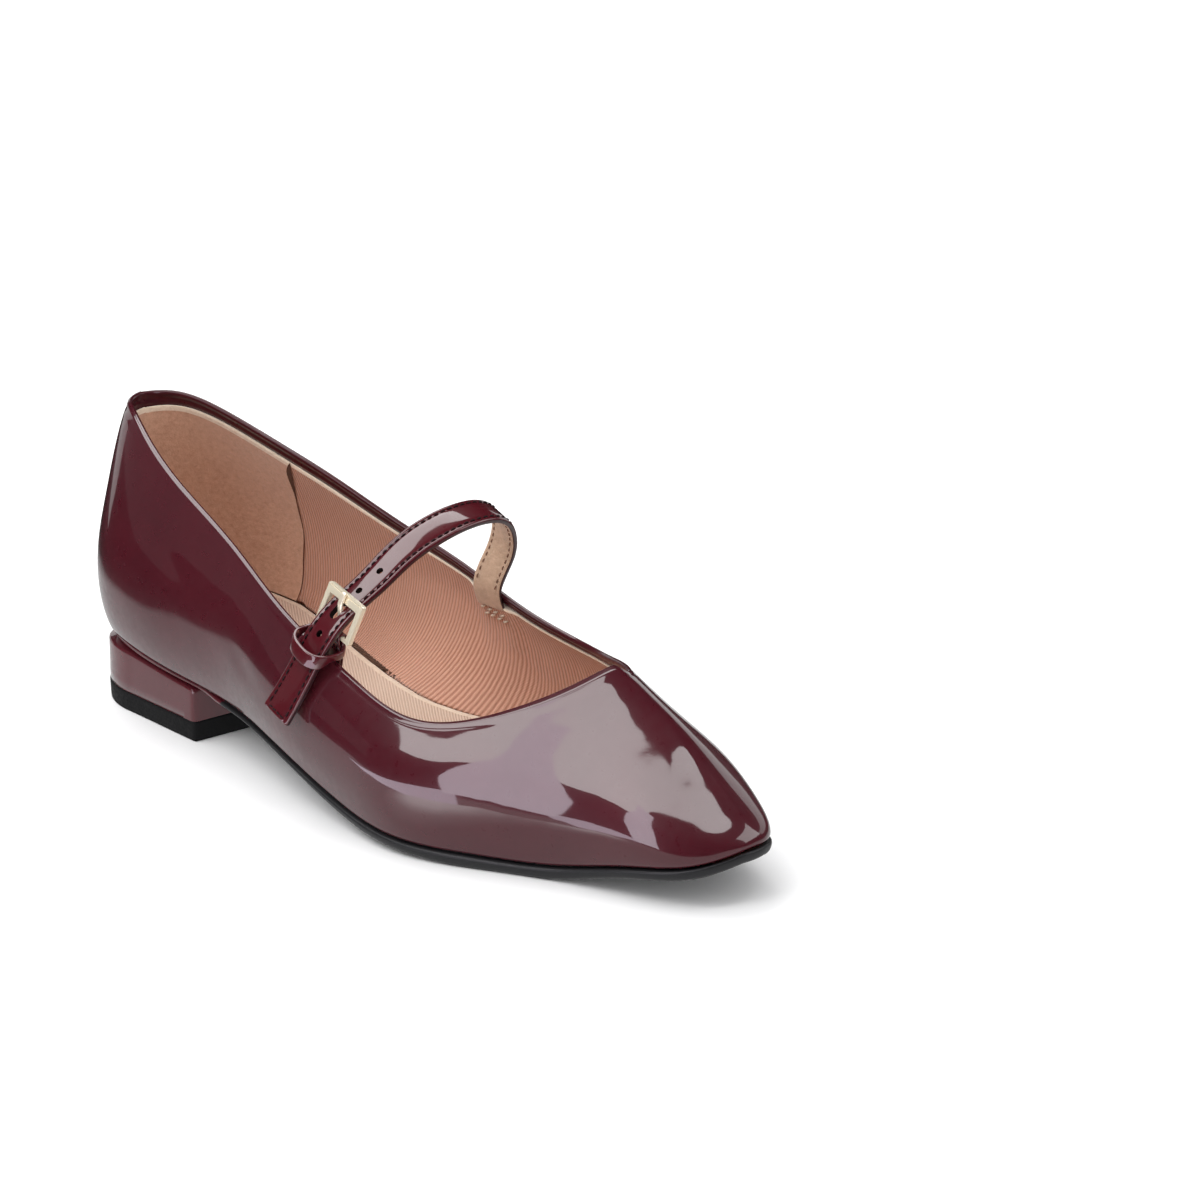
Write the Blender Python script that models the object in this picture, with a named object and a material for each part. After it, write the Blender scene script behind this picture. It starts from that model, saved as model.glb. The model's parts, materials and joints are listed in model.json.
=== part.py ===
"""Right shoe: pointed toe flat with an instep strap, a pin buckle and a low block heel.

Frame: +X runs from the heel to the toe, +Z is up, the lateral (buckle) side is at -Y.
The shoe stands on z = 0: the top lift at the heel and the sole's flat at the ball.
The upper, the sole and the insole all come from one last: a table of cross sections from the
heel to the toe, each a smooth closed curve set by its half widths, its height and its fullness.
All tables are in millimetres.
"""
import math
import bpy
import bmesh
import numpy as np
from mathutils import Vector

MM = 0.001

# ------------------------------------------------------------------ named sizes (mm)
WALL = 1.8                # upper: leather, backing and lining together
GAP = 0.3                 # air between neighbouring pieces

HEEL_ROUND = 185.0        # how fast the half widths open at the back of the heel, per station
TOE_ROUND = 93.0          # the same at the toe; a small value gives the sharp point
TOE_SWING = -0.8          # the point of the toe leans to the lateral side
SWING_FROM = 90.0
BACK_CURVE_Z = 43.5       # height at which the back of the heel bulges most
BACK_CURVE_TOP = 1.1      # how far the back leans in 40 mm above that height
BACK_CURVE_SEAT = 1.7     # how far it tucks in 25 mm below it
BACK_CURVE_REACH = 60.0
TOE_TUCK = 3.0            # the feather edge lies behind the nose of the toe
TOE_TUCK_REACH = 20.0
TOE_TUCK_HEIGHT = 6.0

UPPER_COLUMNS = 48        # how finely each side of the upper is divided
UPPER_ROWS = 13
SOLE_STATIONS = 46

SEAT_INSET = -0.3         # sole edge against the upper at the heel seat
SOLE_EDGE = 0.6           # and from the waist to the toe
SOLE_TUCK = 0.8           # the sole's underside is narrower than its top
SOLE_BELLY = 1.5          # the tread is rounded across
SOLE_FLAT = 0.3           # depth of the flat tread that stands on the ground
INSOLE = 2.2
INSOLE_INSET = 2.4

HEEL_BREAST = 72.0        # the heel's front face, measured from the back of the shoe
HEEL_BREAST_LATERAL = 62.5
HEEL_BREAST_MEDIAL = 71.0
HEEL_HALF = 26.7
HEEL_CENTRE_Y = -4.2
HEEL_ROUND_LENGTH = 26.9  # length of the rounded back of the heel
HEEL_BACK = 2.8
HEEL_FLARE = 0.02
LIFT_THICK = 6.0

STRAP_HALF = 5.35         # instep strap: half width and half thickness
STRAP_THIN = 0.85
STRAP_SKIVED = 0.5        # half thickness where it is sewn in
HOLES_AT = (79.6, 87.5, 103.2)   # along the strap from its sewn end
HOLE = 1.2                # radius of the punched holes
PRONG_HOLE_AT = 95.4
PRONG_SLOT = (2.7, 1.6)  # half length and half width of the hole the prong goes through

BUCKLE_AT = 91.5          # where the nose bar crosses the strap
BUCKLE_UP = 2.3           # nose bar above the middle of the strap
BUCKLE_SIDE = 0.5
BUCKLE_TILT = 34.0        # degrees between the frame and the strap
BUCKLE_SKEW = -1.0
BUCKLE_HALF = 8.6         # half of the outer width
NOSE_BAR = (2.8, 1.5)     # width and thickness of the wide bar
RAIL = (1.9, 1.5)
BAR_AT = 10.0             # hidden bar, from the middle of the nose bar
BAR_RADIUS = 0.6
PRONG = (1.9, 0.85)       # width and thickness

TAB_HALF = 4.8            # half width and half thickness of one layer
TAB_THIN = 0.3
TAB_SIDE = 0.0
# middle of the two layers, below the bar: down and out in the buckle's own axes
TAB_PATH = ((11.3, -0.2), (13.4, -1.1), (16.4, -2.4), (19.8, -3.0), (23.2, -2.2))

KEEPER_MID = (127.5, -36.1, 47.8)
KEEPER_LEAN = 18.4        # degrees; it follows the slope of the collar's edge
KEEPER_DROOP = 6.0        # degrees; its outer part hangs lower
KEEPER_TURN = 10.0        # degrees; it follows the strap's width
KEEPER_HALF = (7.3, 6.0)  # half width and half depth of its middle line
KEEPER_BAND = (1.9, 3.8, 2.4)   # width at its ends, in front and at the back
KEEPER_SLANT = (0.2, 0.25, 0.95)  # the band's own direction, nearly along the tail
KEEPER_THIN = 0.5

SHIFT_X = -128.875          # puts the middle of the whole shoe over the origin
SHIFT_Y = 4.87

# ------------------------------------------------------------------ section tables (mm)
# One row per cross section, heel to toe: half widths, height above the feather edge, height of
# the lateral feather edge above the ground, how much higher the medial one is, sole thickness.
SECTION_COLUMNS = ("x", "lateral", "medial", "height", "feather", "med_rise", "sole_thick")
SECTIONS = (
    (0.0, 0.0, 0.0, 71.1, 20.2, -0.3, 2.0),
    (8.0, 22.4, 19.1, 71.1, 21.4, 0.7, 2.0),
    (24.0, 31.8, 26.3, 70.0, 21.7, 1.2, 2.0),
    (50.0, 34.2, 28.9, 69.4, 19.0, 1.6, 1.6),
    (82.0, 35.6, 30.2, 66.7, 16.5, 3.7, 1.3),
    (114.0, 41.8, 32.6, 59.9, 12.6, 7.1, 1.7),
    (142.0, 45.2, 34.9, 57.0, 6.9, 5.3, 2.6),
    (167.0, 45.9, 38.8, 54.1, 4.3, 2.5, 2.9),
    (190.0, 37.7, 31.8, 53.1, 3.7, 2.2, 3.7),
    (211.0, 28.6, 25.3, 43.2, 4.2, 3.2, 3.4),
    (231.0, 23.5, 19.5, 28.4, 8.4, 2.2, 2.8),
    (250.0, 16.0, 11.5, 10.8, 11.8, 1.1, 3.1),
    (260.0, 0.0, 0.0, 0.0, 14.9, -0.2, 3.2),
)

# Fullness of the sections: how far out and how high the skin is led, as shares of the half
# width and of the height, from the feather edge to the ridge.
FULLNESS_COLUMNS = ("x", "edge_in", "low_out", "low_up", "mid_out", "mid_up", "high_out", "high_up", "top_out", "top_up")
FULLNESS = (
    (0.0, 0.93, 1.05, 0.09, 1.07, 0.35, 0.88, 0.55, 0.49, 0.97),
    (30.0, 0.93, 1.04, 0.10, 1.07, 0.34, 0.89, 0.57, 0.47, 0.98),
    (70.0, 0.94, 1.03, 0.11, 1.07, 0.34, 0.89, 0.58, 0.46, 0.98),
    (140.0, 0.97, 1.00, 0.13, 1.05, 0.37, 0.82, 0.56, 0.40, 0.97),
    (200.0, 0.98, 1.03, 0.15, 1.01, 0.42, 0.77, 0.57, 0.19, 0.95),
    (265.0, 0.95, 1.03, 0.16, 0.98, 0.45, 0.86, 0.74, 0.37, 0.94),
)

# The collar's edge: how far up the section it runs (0 at the feather edge, 1 on the ridge),
# first along the quarters, then round the throat.
QUARTER_COLUMNS = ("x", "up_lateral", "up_medial")
QUARTER = (
    (0.0, 0.808, 0.808),
    (4.0, 0.787, 0.788),
    (14.0, 0.762, 0.744),
    (35.0, 0.68, 0.67),
    (65.0, 0.59, 0.59),
    (100.0, 0.52, 0.47),
    (140.0, 0.49, 0.44),
)
THROAT_COLUMNS = ("x_lateral", "x_medial", "up")
THROAT = (
    (175.9, 166.1, 0.50),
    (202.1, 204.7, 0.75),
    (205.2, 208.2, 0.90),
    (205.6, 205.6, 1.00),
)

# The strap's middle line, from its sewn end inside the medial quarter, over the instep, to the
# free tail outside the lateral quarter. twist (radians) turns its toe-side edge inwards.
STRAP_COLUMNS = ("x", "y", "z", "twist")
STRAP = (
    (126.1, 28.7, 40.8, 0.00),
    (127.0, 26.5, 48.6, -0.05),
    (130.5, 28.8, 58.5, 0.02),
    (134.2, 26.9, 67.8, 0.27),
    (136.9, 19.8, 73.8, 0.33),
    (137.0, 9.4, 75.1, 0.33),
    (135.9, -1.3, 73.1, 0.32),
    (134.2, -11.6, 68.6, 0.21),
    (132.6, -21.0, 62.3, 0.11),
    (130.0, -30.1, 56.0, 0.07),
    (127.8, -37.4, 48.0, 0.03),
    (125.5, -42.9, 38.4, 0.03),
    (121.8, -47.8, 28.7, 0.12),
)


# ------------------------------------------------------------------ curve maths
def column(table, columns, name):
    i = columns.index(name)
    return np.array([row[i] for row in table], float)


def spline(xk, yk, x, start_slope=None, end_slope=None):
    """Cubic spline through (xk, yk), natural at an end whose slope is not given."""
    xk = np.asarray(xk, float)
    yk = np.asarray(yk, float)
    x = np.clip(np.asarray(x, float), xk[0], xk[-1])
    n = len(xk)
    h = np.diff(xk)
    d = np.diff(yk) / h
    a = np.zeros((n, n))
    r = np.zeros(n)
    for i in range(1, n - 1):
        a[i, i - 1:i + 2] = h[i - 1], 2 * (h[i - 1] + h[i]), h[i]
        r[i] = 6 * (d[i] - d[i - 1])
    a[0, 0] = a[-1, -1] = 1.0
    if start_slope is not None:
        a[0, :2] = 2 * h[0], h[0]
        r[0] = 6 * (d[0] - start_slope)
    if end_slope is not None:
        a[-1, -2:] = h[-1], 2 * h[-1]
        r[-1] = 6 * (end_slope - d[-1])
    m = np.linalg.solve(a, r)
    i = np.clip(np.searchsorted(xk, x, side="right") - 1, 0, n - 2)
    t = x - xk[i]
    b = d[i] - h[i] * (2 * m[i] + m[i + 1]) / 6
    return yk[i] + b * t + m[i] / 2 * t ** 2 + (m[i + 1] - m[i]) / (6 * h[i]) * t ** 3


def clamped_basis(n, q):
    """Weights of n control points of a clamped cubic B-spline at q in 0..1."""
    q = np.clip(np.asarray(q, float), 0, 1 - 1e-12)
    knots = np.concatenate([np.zeros(3), np.linspace(0, 1, n - 2), np.ones(3)])
    b = ((q[:, None] >= knots[:-1]) & (q[:, None] < knots[1:])).astype(float)
    for d in range(1, 4):
        c = np.zeros((len(q), len(knots) - 1 - d))
        for i in range(c.shape[1]):
            if knots[i + d] > knots[i]:
                c[:, i] += (q - knots[i]) / (knots[i + d] - knots[i]) * b[:, i]
            if knots[i + d + 1] > knots[i + 1]:
                c[:, i] += (knots[i + d + 1] - q) / (knots[i + d + 1] - knots[i + 1]) * b[:, i + 1]
        b = c
    return b


def ease(a, b, x):
    t = np.clip((x - a) / (b - a), 0, 1)
    return t * t * (3 - 2 * t)


def unit(v):
    v = np.asarray(v, float)
    return v / np.maximum(np.linalg.norm(v, axis=-1, keepdims=True), 1e-12)


# ------------------------------------------------------------------ the last
LATERAL, MEDIAL = -1, 1
X_TOE = SECTIONS[-1][0]
SEC = {name: column(SECTIONS, SECTION_COLUMNS, name) for name in SECTION_COLUMNS}
FORM = {name: column(FULLNESS, FULLNESS_COLUMNS, name) for name in FULLNESS_COLUMNS}


def s_of_x(x):
    """Station number 0..1; it is dense at the heel and at the toe, where the outline turns."""
    return np.arccos(np.clip(1 - 2 * np.asarray(x, float) / X_TOE, -1, 1)) / math.pi


def x_of_s(s):
    return X_TOE * (1 - np.cos(math.pi * np.asarray(s, float))) / 2


S_ROWS = s_of_x(SEC["x"])


def last_rows(s):
    s = np.asarray(s, float)
    x = x_of_s(s)
    r = {}
    for name in ("lateral", "medial"):
        r[name] = spline(S_ROWS, SEC[name], s, HEEL_ROUND, -TOE_ROUND)
    r["height"] = spline(S_ROWS, SEC["height"], s, 0.0)
    for name in ("feather", "med_rise", "sole_thick"):
        r[name] = spline(SEC["x"], SEC[name], x)
    r["centre"] = TOE_SWING * np.clip((x - SWING_FROM) / (X_TOE - SWING_FROM), 0, 1) ** 3
    for name in FULLNESS_COLUMNS[1:]:
        r[name] = spline(FORM["x"], FORM[name], x)
    return r


def last_point(s, q, side):
    """Point of the upper's outer face: s along the foot, q from 0 at the feather edge to 1 on
    the ridge of the instep, on the lateral or the medial side."""
    s, q, side = (np.ravel(a).astype(float) for a in np.broadcast_arrays(s, q, side))
    r = last_rows(s)
    out = [r["edge_in"], r["low_out"], r["mid_out"], r["high_out"], r["top_out"]]
    up = [0 * s, r["low_up"], r["mid_up"], r["high_up"], r["top_up"]]
    y = np.zeros((len(s), 11))
    z = np.zeros((len(s), 11))
    for i in range(5):
        y[:, i], y[:, 10 - i] = -r["lateral"] * out[i], r["medial"] * out[i]
        z[:, i] = z[:, 10 - i] = r["height"] * up[i]
    z[:, 5] = r["height"]
    b = clamped_basis(11, np.where(side < 0, q / 2, 1 - q / 2))
    across = (b * y).sum(1)
    h = (b * z).sum(1)
    share = np.clip((across + r["lateral"]) / np.maximum(r["lateral"] + r["medial"], 1e-6), -.3, 1.3)
    z = h + r["feather"] + r["med_rise"] * share
    x = x_of_s(s)
    dz = z - BACK_CURVE_Z
    curve = np.where(dz > 0, BACK_CURVE_TOP * (np.abs(dz) / 40) ** 2, BACK_CURVE_SEAT * (np.abs(dz) / 25) ** 2)
    xs = x + curve * np.clip(1 - x / BACK_CURVE_REACH, 0, 1) ** 3
    nose = np.clip(1 - (X_TOE - x) / TOE_TUCK_REACH, 0, 1) ** 3
    xs = xs - TOE_TUCK * nose * np.exp(-(h / TOE_TUCK_HEIGHT) ** 2)
    return np.stack([xs, across + r["centre"], z], -1)




# ------------------------------------------------------------------ topline and shell grid
def topline(sigma, side):
    """s and q along the collar's edge, sigma 0 at the back of the heel, 1 at the throat."""
    name = "lateral" if side < 0 else "medial"
    x = np.concatenate([column(QUARTER, QUARTER_COLUMNS, "x"), column(THROAT, THROAT_COLUMNS, "x_" + name)])
    up = np.concatenate([column(QUARTER, QUARTER_COLUMNS, "up_" + name), column(THROAT, THROAT_COLUMNS, "up")])
    s = s_of_x(x)
    t = np.concatenate([[0], np.cumsum(np.hypot(np.diff(s) * 300, np.diff(up) * 70))])
    t /= t[-1]
    return spline(t, s, sigma, None, 0.0), spline(t, up, sigma, 0.0, None)


def shell_grid(u, tau, side):
    """Outer face of one side: u runs round the feather edge from heel to toe, tau climbs from
    the feather edge (0) to the collar (1). Towards the toe the columns swing over the nose."""
    u, tau = np.asarray(u, float), np.asarray(tau, float)[None, :]
    ss = np.linspace(0, 1, 200)
    w = last_rows(ss)["lateral" if side < 0 else "medial"]
    a = np.concatenate([[0], np.cumsum(np.hypot(np.diff(x_of_s(ss)), np.diff(w)))])
    s_f = np.interp(u, a / a[-1], ss)
    st, qt = topline(ss, side)
    edge = last_point(st, qt, side)
    b = np.concatenate([[0], np.cumsum(np.linalg.norm(np.diff(edge, axis=0), axis=1))])
    s_t, q_t = topline(np.interp(u, b / b[-1], ss), side)
    x_f, x_t = x_of_s(s_f)[:, None], x_of_s(s_t)[:, None]
    lam = 1 - np.cos(math.pi / 2 * tau)
    x_a, q_a = x_f * (1 - tau) + x_t * tau, q_t[:, None] * tau
    x_b = x_f * (1 - lam) + x_t * lam
    y_f = np.interp(s_f, ss, w)[:, None]
    y_t = (np.interp(s_t, ss, w) * np.cos(math.pi / 2 * q_t))[:, None]
    w_b = np.maximum(np.interp(s_of_x(x_b), ss, w), 1e-9)
    q_b = 2 / math.pi * np.arccos(np.clip((y_f * (1 - lam) + y_t * lam) / w_b, 0, 1))
    k = ease(0.72, 0.93, u)[:, None]
    x, q = x_a * (1 - k) + x_b * k, q_a * (1 - k) + q_b * k
    ridge = u > 1 - 1e-9
    q[ridge] = np.where(np.broadcast_to(tau, q[ridge].shape) < 1e-9, q[ridge], 1.0)
    return last_point(s_of_x(x), q, side).reshape(len(u), tau.shape[1], 3)


def ring_grid(columns, rows):
    """Outer face all round: lateral side to the toe, then the medial side back to the heel."""
    t = np.linspace(0, 1, columns)
    u = 0.5 * t + 0.5 * (1 - np.cos(math.pi * t)) / 2
    tau = np.linspace(0, 1, rows)
    lat, med = shell_grid(u, tau, LATERAL), shell_grid(u, tau, MEDIAL)
    return np.concatenate([lat, med[-2:0:-1]], 0)


def ring_normals(g):
    du = np.roll(g, -1, 0) - np.roll(g, 1, 0)
    return unit(np.cross(du, np.gradient(g, axis=1)))


EDGE_S = np.linspace(0, 1, 1201)
EDGE = {side: last_point(EDGE_S, 0 * EDGE_S, side) for side in (LATERAL, MEDIAL)}


def outline(s, side, grow=0.0):
    """Feather edge in plan, moved outwards by grow."""
    edge = EDGE[side][:, :2]
    n = unit(np.gradient(edge, axis=0)[:, ::-1] * (-side, side))
    p, m = (np.stack([np.interp(s, EDGE_S, a[:, i]) for i in (0, 1)], -1) for a in (edge, n))
    m[s < 1e-9] = (-1, 0)
    m[s > 1 - 1e-9] = (1, 0)
    return p + unit(m) * np.broadcast_to(grow, s.shape)[:, None]


def foot_bed(x, y):
    """Height of the surface spanned between the lateral and the medial feather edge."""
    lat, med = ([np.interp(x, EDGE[side][:, 0], EDGE[side][:, i]) for i in (1, 2)] for side in (LATERAL, MEDIAL))
    share = np.clip((y - lat[0]) / np.maximum(med[0] - lat[0], 1e-6), 0, 1)
    return lat[1] + (med[1] - lat[1]) * share


# ------------------------------------------------------------------ mesh helpers
def material(name, rgb, roughness, metallic=0.0, coat=0.0):
    m = bpy.data.materials.new(name)
    m.use_nodes = True
    p = m.node_tree.nodes["Principled BSDF"]
    p.inputs["Base Color"].default_value = (*rgb, 1)
    p.inputs["Roughness"].default_value = roughness
    p.inputs["Metallic"].default_value = metallic
    p.inputs["Coat Weight"].default_value = coat
    return m


def solid(name, verts, faces, mat, sharp=40):
    """One closed object from points in mm: coincident points joined, faces turned outwards."""
    bm = bmesh.new()
    vs = [bm.verts.new(Vector((float(v[0]) + SHIFT_X, float(v[1]) + SHIFT_Y, float(v[2]))) * MM) for v in verts]
    for f in faces:
        if len(set(f)) > 2:
            bm.faces.new([vs[i] for i in dict.fromkeys(f)])
    bmesh.ops.remove_doubles(bm, verts=bm.verts, dist=2e-6)
    bmesh.ops.dissolve_degenerate(bm, edges=bm.edges, dist=1e-6)
    bmesh.ops.triangulate(bm, faces=bm.faces)
    bmesh.ops.recalc_face_normals(bm, faces=bm.faces)
    if bm.calc_volume(signed=True) < 0:
        bmesh.ops.reverse_faces(bm, faces=bm.faces)
    me = bpy.data.meshes.new(name)
    bm.to_mesh(me)
    bm.free()
    me.shade_smooth()
    me.set_sharp_from_angle(angle=math.radians(sharp))
    ob = bpy.data.objects.new(name, me)
    ob.data.materials.append(mat)
    bpy.context.scene.collection.objects.link(ob)
    return ob


def loft(sections, closed=False):
    """Faces between equal sections; the two ends are capped unless the loft closes on itself."""
    n, k = len(sections), len(sections[0])
    verts = [p for sec in sections for p in sec]
    faces = []
    for i in range(n if closed else n - 1):
        j = (i + 1) % n
        for a in range(k):
            b = (a + 1) % k
            faces.append((i * k + a, i * k + b, j * k + b, j * k + a))
    if not closed:
        faces.append(tuple(range(k))[::-1])
        faces.append(tuple((n - 1) * k + a for a in range(k)))
    return verts, faces


def bar_section(centre, across, out, half_w, half_t, bevel):
    """Eight points of a bevelled bar: across is its width, out its thickness."""
    c = min(bevel, half_w * .7, half_t * .7)
    pts = ((-half_w, -half_t + c), (-half_w + c, -half_t), (half_w - c, -half_t), (half_w, -half_t + c),
           (half_w, half_t - c), (half_w - c, half_t), (-half_w + c, half_t), (-half_w, half_t - c))
    return [np.asarray(centre) + np.asarray(across) * a + np.asarray(out) * b for a, b in pts]


# ------------------------------------------------------------------ start clean
for ob in list(bpy.data.objects):
    bpy.data.objects.remove(ob, do_unlink=True)

PATENT = material("patent_leather", (0.075, 0.010, 0.016), 0.08, coat=1.0)
RUBBER = material("black_rubber", (0.012, 0.012, 0.014), 0.45)
LIFT = material("top_lift_rubber", (0.01, 0.01, 0.011), 0.5)
SOCK = material("insole_cream", (0.78, 0.60, 0.47), 0.75)
GOLD = material("pale_gold", (0.86, 0.74, 0.55), 0.2, metallic=1.0)


# ------------------------------------------------------------------ upper
def make_upper():
    g = ring_grid(UPPER_COLUMNS, UPPER_ROWS)
    n = ring_normals(g)
    inner = g - n * WALL
    flat = unit(n[:, 0] * (1, 1, 0))
    inner[:, 0] = g[:, 0] - flat * WALL
    inner[:, 0, 2] = foot_bed(inner[:, 0, 0], inner[:, 0, 1])
    rise = unit(g[:, -1] - g[:, -2])
    rim = (g[:, -1] + inner[:, -1]) / 2 + rise * WALL * 0.4
    sections = []
    for i in range(len(g)):
        sections.append(list(g[i]) + [rim[i]] + list(inner[i][::-1]))
    return solid("upper", *loft(sections, closed=True), PATENT, sharp=55)


# ------------------------------------------------------------------ sole
def make_sole():
    s = np.linspace(0, 1, SOLE_STATIONS)
    x = x_of_s(s)
    grow = SEAT_INSET + (SOLE_EDGE - SEAT_INSET) * ease(HEEL_BREAST - 10, HEEL_BREAST + 14, x)
    tuck = SOLE_TUCK * ease(HEEL_BREAST, HEEL_BREAST + 20, x)
    belly = SOLE_BELLY * ease(HEEL_BREAST, HEEL_BREAST + 40, x) * ease(X_TOE, X_TOE - 30, x)
    side_t, side_m, side_b = ([outline(s, side, g) for side in (LATERAL, MEDIAL)] for g in (grow, grow + 0.15, grow - tuck))
    top = np.stack([foot_bed(p[:, 0], p[:, 1]) for p in side_t], -1) - GAP
    low = top + GAP - last_rows(s)["sole_thick"][:, None] - SOLE_FLAT
    sections = []
    for i in range(len(s)):
        def level(c, z, sag=0.0):
            return z[i][0] + (z[i][1] - z[i][0]) * c - sag * 4 * c * (1 - c)
        def across(pair, c):
            return pair[0][i] + (pair[1][i] - pair[0][i]) * c
        ring = [(*across(side_t, c), level(c, top)) for c in (0, .5, 1)]
        ring.append((*side_m[1][i], level(1, top) * .6 + max(level(1, low), 0) * .4))
        ring += [(*across(side_b, c), max(level(c, low, belly[i]), 0.0)) for c in (1, .9, .75, .6, .45, .3, .15, .05, 0)]
        ring.append((*side_m[0][i], level(0, top) * .6 + max(level(0, low), 0) * .4))
        sections.append(ring)
    return solid("outsole", *loft(sections), RUBBER, sharp=35)


def make_insole():
    s = np.linspace(0, 1, 40)
    lat, med = outline(s, LATERAL, -INSOLE_INSET), outline(s, MEDIAL, -INSOLE_INSET)
    keep = (med[:, 1] - lat[:, 1] > 2.0) & (x_of_s(s) < X_TOE - 8)
    lat, med = lat[keep], med[keep]
    zl, zm = (foot_bed(p[:, 0], p[:, 1]) + 0.15 for p in (lat, med))
    sections = []
    for i in range(len(lat)):
        mid = (lat[i] + med[i]) / 2
        zc = (zl[i] + zm[i]) / 2
        inl, inm = lat[i] + (0, .8), med[i] - (0, .8)
        sections.append([(*lat[i], zl[i]), (*mid, zc), (*med[i], zm[i]), (*med[i], zm[i] + INSOLE * .6),
                         (*inm, zm[i] + INSOLE), (*mid, zc + INSOLE), (*inl, zl[i] + INSOLE), (*lat[i], zl[i] + INSOLE * .6)])
    return solid("insole", *loft(sections), SOCK, sharp=35)


# ------------------------------------------------------------------ heel
def heel_stations(grow, back):
    """U-shaped plan of the heel as x, lateral y, medial y; grow widens it all round."""
    t = np.concatenate([np.linspace(0, 1, 13) ** 1.8, [1.0, 1.0]])
    ease_in = np.concatenate([np.zeros(13), [0.6, 2.0]])
    bx = np.array([HEEL_BREAST_LATERAL, HEEL_BREAST_MEDIAL])
    x0 = back - grow
    rows = []
    for i, (a, e) in enumerate(zip(t, ease_in)):
        row = []
        for side, b, half in ((LATERAL, bx[0], HEEL_HALF), (MEDIAL, bx[1], HEEL_HALF)):
            end = b - (2.2 if i < 13 else 0.5 if i == 13 else 0.0)
            x = x0 + (end - x0) * a
            run = x - x0
            y = (half + grow) * (1 - np.clip((HEEL_ROUND_LENGTH - run) / HEEL_ROUND_LENGTH, 0, 1) ** 2.3) ** (1 / 2.3)
            y *= 1 + HEEL_FLARE * max(run - HEEL_ROUND_LENGTH, 0) / 10
            row.append((x, side * (y - e) + HEEL_CENTRE_Y))
        rows.append(row)
    return rows


def heel_solid(name, z_top, z_low, grow, mat):
    up = dn = heel_stations(grow, HEEL_BACK)
    sections = []
    for (ut, um), (dl, dm) in zip(up, dn):
        mid_u, mid_d = np.add(ut, um) / 2, np.add(dl, dm) / 2
        sections.append([(*ut, z_top(*ut)), (*mid_u, z_top(*mid_u)), (*um, z_top(*um)),
                         (*dm, z_low), (*mid_d, z_low), (*dl, z_low)])
    return solid(name, *loft(sections), mat, sharp=35)


def seat_underside(x, y):
    """Height just under the sole at a point of the heel seat."""
    return float(foot_bed(x, y)) - float(last_rows(s_of_x(max(x, 0.0)))["sole_thick"]) - SOLE_FLAT - GAP


def make_heel():
    heel_solid("heel_block", seat_underside, LIFT_THICK + GAP, 0.0, PATENT)
    heel_solid("top_lift", lambda x, y: LIFT_THICK, 0.0, 0.2, LIFT)


# ------------------------------------------------------------------ strap
def strap_frames():
    """Fine samples of the strap: distance along it, middle, direction, width and outward axes."""
    k = np.linspace(0, 1, len(STRAP))
    t = np.linspace(0, 1, 2601)
    c = np.stack([spline(k, column(STRAP, STRAP_COLUMNS, a), t) for a in ("x", "y", "z")], -1)
    twist = spline(k, column(STRAP, STRAP_COLUMNS, "twist"), t)[:, None]
    along = unit(np.gradient(c, axis=0))
    flat = unit(np.array((1.0, 0, 0)) - along[:, :1] * along)
    across = flat * np.cos(twist) + np.cross(flat, along) * np.sin(twist)
    run = np.concatenate([[0], np.cumsum(np.linalg.norm(np.diff(c, axis=0), axis=1))])
    return run, c, along, across, np.cross(along, across)


RUN, STRAP_MID, STRAP_ALONG, STRAP_ACROSS, STRAP_OUT = strap_frames()


def strap_at(d):
    """Middle, direction, width axis and outward axis of the strap, d mm from its sewn end."""
    mid = np.array([np.interp(d, RUN, STRAP_MID[:, i]) for i in range(3)])
    return (mid,) + tuple(unit([np.interp(d, RUN, a[:, i]) for i in range(3)])
                          for a in (STRAP_ALONG, STRAP_ACROSS, STRAP_OUT))


def strap_point(d, across, out):
    mid, _, w, n = strap_at(d)
    return mid + w * across + n * out


def cut_hole(ob, name, d, half_l, half_w):
    """A punched hole: an oval pin through the strap, taken away from it."""
    mid, t, w, n = strap_at(d)
    ring = [(half_l - half_w) * np.sign(math.cos(a)) * (abs(math.cos(a)) > 1e-6) * t + half_w * (math.cos(a) * t + math.sin(a) * w)
            for a in (math.tau * (i + .5) / 12 for i in range(12))]
    pin = solid(name, *loft([[mid + p - n * 3 for p in ring], [mid + p + n * 3 for p in ring]]), GOLD)
    pin.hide_render = True
    pin.display_type = "WIRE"
    m = ob.modifiers.new(name, "BOOLEAN")
    m.operation = "DIFFERENCE"
    m.solver = "EXACT"
    m.object = pin
    return pin


def make_strap():
    end = RUN[-1]
    d = np.concatenate([[0, .5], np.linspace(2.5, end - 2, 62), [end - .5, end]])
    sections = []
    for x in d:
        mid, _, w, n = strap_at(x)
        thin = STRAP_SKIVED + (STRAP_THIN - STRAP_SKIVED) * float(ease(6, 14, x))
        half = STRAP_HALF - (0.45 if x in (d[0], d[-1]) else 0.0)
        sections.append(bar_section(mid, w, n, half, thin, 0.25))
    ob = solid("strap", *loft(sections), PATENT, sharp=35)
    pins = [cut_hole(ob, "hole_%d" % i, x, HOLE, HOLE) for i, x in enumerate(HOLES_AT)]
    pins.append(cut_hole(ob, "prong_hole", PRONG_HOLE_AT, *PRONG_SLOT))
    return ob, pins


# ------------------------------------------------------------------ buckle
def buckle_axes():
    """Middle of the nose bar and the frame's own axes: down to the hidden bar, across, out."""
    mid, t, w, n = strap_at(BUCKLE_AT)
    tilt, skew = math.radians(BUCKLE_TILT), math.radians(BUCKLE_SKEW)
    down, out = t * math.cos(tilt) - n * math.sin(tilt), n * math.cos(tilt) + t * math.sin(tilt)
    across = w * math.cos(skew) + down * math.sin(skew)
    down = down * math.cos(skew) - w * math.sin(skew)
    return mid + n * BUCKLE_UP + w * BUCKLE_SIDE, down, across, out


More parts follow.
